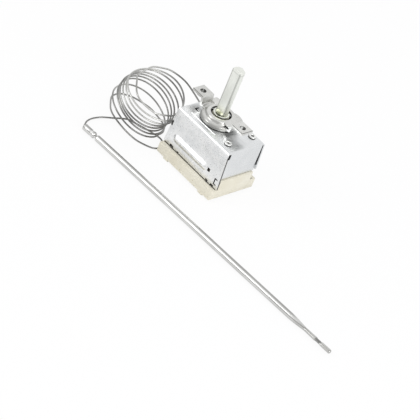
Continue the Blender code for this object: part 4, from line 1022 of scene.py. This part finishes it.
def rib_mesh():
    """The pressed rib of the front flap: a long rounded ridge that fades into the sheet."""
    mesh = bmesh.new()
    half_straight = RIB_LENGTH / 2 - RIB_HEIGHT / 2
    rows = []
    for ring in range(RIB_RINGS + 1):
        share = ring / RIB_RINGS
        radius = RIB_HEIGHT / 2 * (1 - share * RIB_NARROWING)
        rise = RIB_RISE * (share ** 2 * (3 - 2 * share)) - RIB_SINK * (1 - share)
        row = []
        for side in (1, -1):
            for step in range(RIB_STEPS + 1):
                angle = side * math.pi / 2 - step * math.pi / RIB_STEPS
                x = RIB_X + side * half_straight + radius * math.cos(angle)
                z = RIB_Z + radius * math.sin(angle)
                row.append(mesh.verts.new(at(x, -HALF_DEPTH - rise, z)))
        rows.append(row)
    join_rows(mesh, rows)
    mesh.faces.new(rows[-1])
    bmesh.ops.recalc_face_normals(mesh, faces=mesh.faces)
    if mesh.faces[-1].normal.y > 0:
        bmesh.ops.reverse_faces(mesh, faces=mesh.faces)
    return mesh


def paint_shade_on_faces(piece, material, chosen):
    """Gives a piece's chosen faces, in cuts, holes or grooves, a dark material as painted shade."""
    piece.data.materials.append(material)
    for face in piece.data.polygons:
        if chosen(face):
            face.material_index = 1


def hidden_side(face):
    """Whether a face of the housing is on its inside or in a cut through the front flap."""
    place = drawn(face.center)
    inside = abs(place.x) < HALF_LENGTH - SHEET * 0.9 and abs(place.y) < INNER_Y - 0.05
    inside = inside and place.z < UNDER_TOP - 0.01
    in_sheet = abs(place.y + HALF_DEPTH - SHEET / 2) < 0.3 and abs(place.x) < FLARE - 0.6
    return inside or (in_sheet and FLAP_BOTTOM + 0.3 < place.z < TOP - 7.0)


def make_housing(materials):
    """The folded sheet, its rib and the two hollow rivets in its top."""
    shell = add_piece(
        "housing_skin", housing_mesh(), "base", "zinc_sheet", materials, ["housing_shell"],
        angle=30.0)
    # Painted shade: the housing's inside and the cut faces in its front flap take the near-black
    # material.
    paint_shade_on_faces(shell, materials["painted_shade"], hidden_side)
    add_piece("housing_rib_skin", rib_mesh(), "base", "zinc_sheet", materials, [], angle=60.0)
    for side, name in ((-1, "front"), (1, "rear")):
        centre = (RIVET_X, SHAFT[1] + side * RIVET_SPREAD, 0)
        rivet = turned(RIVET, centre, segments=40)
        add_skin("housing_rivet_" + name, rivet, "base", "shaft_steel", materials)


# Bracket, guide, ring and shaft

# Outlines and profiles, by distance from the shaft's axis and by height
DOME_FOOT = 27.35
DOME_KNOTS = (
    (5.15, 31.1), (6.0, 31.12), (6.7, 30.9), (7.1, 30.35), (7.35, 29.7), (7.75, 29.35),
    (8.3, 29.2), (8.75, 28.75), (8.95, 28.1), (9.0, DOME_FOOT),
)
DOME_SHEET = 0.9
DOME_HOLE_RADIUS = 5.0
TAB_UNDER = 32.2
TAB_OUTLINE = (
    (7.3, 29.5), (9.2, 29.5), (9.45, 29.62), (9.62, 29.9), (9.95, 32.55), (10.15, 33.0),
    (10.5, TAB_TOP), (TAB_END, TAB_TOP), (TAB_END, TAB_UNDER), (11.15, TAB_UNDER), (10.95, 32.1),
    (10.62, 29.2), (10.3, 28.7), (9.8, 28.5), (7.3, 28.5),
)
HOLE_DISTANCE = 14.0
HOLE_RADIUS = 1.5
COLLAR_RADIUS = 2.55
COLLAR_MIDDLE = 31.85
COLLAR_HALF_HEIGHT = 0.85

# Thin webs beside the dome, by X and Y from the shaft's axis, with their undersides
RIGHT_WEB = (
    (4.9, -3.55), (10.2, -3.55), (10.2, 4.3), (9.6, 5.2), (8.6, 6.1), (7.4, 6.8), (6.0, 7.2),
    (4.4, 7.25), (2.6, 6.7), (2.2, 5.8), (4.2, 4.0), (5.5, 2.0), (5.9, 0.0), (5.6, -1.9),
)
RIGHT_WEB_LEVEL = 30.25
RIGHT_WEB_SHEET = 0.8
REAR_WEB = (
    (-6.1, 2.9), (-9.9, 2.9), (-9.9, 3.7), (-10.5, 3.7), (-10.6, 6.6), (-10.2, 7.1), (-9.4, 7.3),
    (-2.4, 7.3), (-2.0, 6.5), (-4.2, 5.35), (-5.8, 3.55),
)
REAR_WEB_LEVEL = 29.45
REAR_WEB_SHEET = 0.85

RING = (
    (2.72, 30.82), (2.82, 30.7), (3.75, 30.7), (3.9, 30.85), (3.9, 31.15), (3.75, 31.3),
    (2.82, 31.3), (2.72, 31.18),
)
MOUTH_X = (SHAFT[0] - 1.7, SHAFT[0] + 1.7)
MOUTH_Y = (SHAFT[1], SHAFT[1] + 6.0)
MOUTH_Z = (30.0, 32.0)
GUIDE = (
    (3.3, 27.3), (6.4, 27.3), (6.4, 28.1), (4.2, 28.1), (4.1, 28.25), (4.1, 30.1),
    (4.0, 30.32), (3.8, 30.4), (3.3, 30.4),
)


def dome_profile():
    """Rounded steps of the dome, from the shaft hole to its foot, and back underneath."""
    outer = smooth_line([Vector(knot) for knot in DOME_KNOTS], 3)
    inner = []
    for before, after in zip(outer, outer[1:]):
        along = (after - before).normalized()
        inner.append((before + after) / 2 + Vector((-abs(along.y), -abs(along.x))) * DOME_SHEET)
    return (
        [(DOME_HOLE_RADIUS, 30.98)] + [tuple(point) for point in outer] + [(8.1, DOME_FOOT)]
        + [tuple(point) for point in reversed(inner) if point.y > DOME_FOOT + 0.15]
        + [(DOME_HOLE_RADIUS, 30.25)])


def web(outline, level, sheet):
    """A flat piece of the plate beside the dome."""
    return prism([(SHAFT[0] + x, SHAFT[1] + y, level) for x, y in outline], (0, 0, sheet))


def bracket_mesh():
    """The stepped dome, its two joggled tabs with collared holes, and the webs beside it."""
    arms = []
    collars = []
    holes = []
    front = SHAFT[1] - TAB_HALF_WIDTH
    for side in (-1, 1):
        corners = [(SHAFT[0] + side * reach, front, level) for reach, level in TAB_OUTLINE]
        arms.append(prism(corners, (0, 2 * TAB_HALF_WIDTH, 0)))
        hole = (SHAFT[0] + side * HOLE_DISTANCE, SHAFT[1])
        collar = (*hole, COLLAR_MIDDLE)
        collars.append(rod(COLLAR_RADIUS, collar, COLLAR_HALF_HEIGHT, segments=36))
        holes.append(rod(HOLE_RADIUS, (*hole, TAB_UNDER), 2.5, segments=36))
    dome = turned(dome_profile(), (*SHAFT, 0), segments=72, closed=True)
    right_web = web(RIGHT_WEB, RIGHT_WEB_LEVEL, RIGHT_WEB_SHEET)
    rear_web = web(REAR_WEB, REAR_WEB_LEVEL, REAR_WEB_SHEET)
    return carve(dome, added=[*arms, *collars, right_web, rear_web], removed=holes)


def bore(face):
    """Whether a face of the bracket is in a fixing hole, at the hole's right or rear."""
    place = drawn(face.center)
    for side in (-1, 1):
        x = place.x - SHAFT[0] - side * HOLE_DISTANCE
        y = place.y - SHAFT[1]
        if math.hypot(x, y) < HOLE_RADIUS + 0.2 and abs(face.normal.z) < 0.5 and x + y > 0.4:
            return True
    return False


def make_bracket(materials):
    """The mounting bracket, with painted shade on the right and rear walls of its two holes."""
    bracket = add_skin(
        "mounting_bracket", bracket_mesh(), "base", "bracket_steel", materials, angle=32.0)
    # Painted shade on the right and rear walls of the two fixing holes.
    paint_shade_on_faces(bracket, materials["painted_shade"], bore)
    round_edges(bracket, 0.13)


def make_ring(materials):
    """Open ring of round-edged wire, with its mouth at the rear."""
    ring = turned(RING, (*SHAFT, 0), segments=56, closed=True)
    open_ring = carve(ring, removed=[block(*MOUTH_X, *MOUTH_Y, *MOUTH_Z)])
    add_skin("retaining_ring", open_ring, "shaft", "shaft_steel", materials, angle=40.0)


def make_shaft(materials):
    """The shaft, its flanged guide and its retaining ring."""
    guide = turned(GUIDE, (*SHAFT, 0), closed=True)
    add_skin("shaft_guide", guide, "base", "brass", materials)
    dress("control_shaft", "shaft", "shaft_steel", materials, width=0.12)
    make_ring(materials)


# Base and terminals

# Upright edges farther out than CORNER_X and CORNER_Y are the base's outer corners
CORNER_X = 18.6
CORNER_Y = 14.3
CORNER_RADIUS = 1.1
GROOVE_X = (-18.2, 18.2)
GROOVE_Y = (11.2, 12.25)
GROOVE_Z = (5.7, 6.9)
CHIPS = ((-14.6, 6.0), (6.2, 3.0), (12.4, 6.05), (-2.6, 2.2))
CHIP_WIDTH = 0.7
CHIP_HEIGHT = 0.45
CHIP_Y = (-14.9, -14.15)


def is_corner(edge):
    """Whether an edge of the base is one of its outer upright corners."""
    low, high = (drawn(end.co) for end in edge.verts)
    upright = (low - high).xy.length < 0.01
    return upright and abs(low.x) > CORNER_X and abs(low.y) > CORNER_Y


def base_mesh():
    """The CAD base with its outer corners rounded, grooves under the flaps and small chips."""
    mesh = node_mesh("ceramic_base")
    corners = [edge for edge in mesh.edges if is_corner(edge)]
    bmesh.ops.bevel(
        mesh, geom=corners, offset=CORNER_RADIUS * MM, segments=5, profile=0.5, affect='EDGES')
    grooves = [
        block(*GROOVE_X, *sorted(side * y for y in GROOVE_Y), *GROOVE_Z) for side in (-1, 1)]
    chips = [block(x, x + CHIP_WIDTH, *CHIP_Y, z, z + CHIP_HEIGHT) for x, z in CHIPS]
    return carve(mesh, removed=grooves + chips)


def behind_flaps(face):
    """Whether a face of the base is the block's long side or a groove's inner wall."""
    place = drawn(face.center)
    inner_wall = GROOVE_Y[0]
    return inner_wall - 0.6 < abs(place.y) < inner_wall + 0.1 and place.z > GROOVE_Z[0] - 0.7


def make_base(materials):
    """The ceramic base and the two terminals with their rivets."""
    base = add_skin("ceramic_base", base_mesh(), "base", "ceramic", materials)
    # Painted shade on the base's long sides and the grooves' inner walls, in the gap behind the flaps.
    paint_shade_on_faces(base, materials["painted_shade"], behind_flaps)
    round_edges(base, 0.12)
    for side in ("load", "common"):
        dress("terminal_" + side, "base", "brass", materials, width=0.08)
        dress("terminal_rivet_" + side, "base", "brass", materials)


HIDDEN = {
    "screw_bridge": "zinc_sheet", "adjusting_screw": "brass", "capsule_hub": "brass",
    "diaphragm_upper": "bulb_steel", "diaphragm_lower": "bulb_steel",
    "capillary_stub": "capillary_steel", "contact_spring": "brass", "contact_carrier": "brass",
    "ceramic_button": "ceramic", "moving_contact": "silver", "fixed_contact": "silver",
}


def finish_hidden(materials):
    """The pieces inside keep their CAD shapes and get the finished materials."""
    for node, slot in HIDDEN.items():
        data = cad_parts[node].data
        data.materials.clear()
        data.materials.append(materials[slot])


def main():
    """The finished pieces and the photograph's view of them."""
    bpy.context.scene.view_settings.view_transform = 'Standard'
    make_camera()
    materials = make_materials()
    swage = make_bulb(materials)
    make_capillary(materials)
    make_floor()
    make_world()
    make_lamps()
    make_housing(materials)
    make_bracket(materials)
    make_shaft(materials)
    make_base(materials)
    finish_hidden(materials)


main()
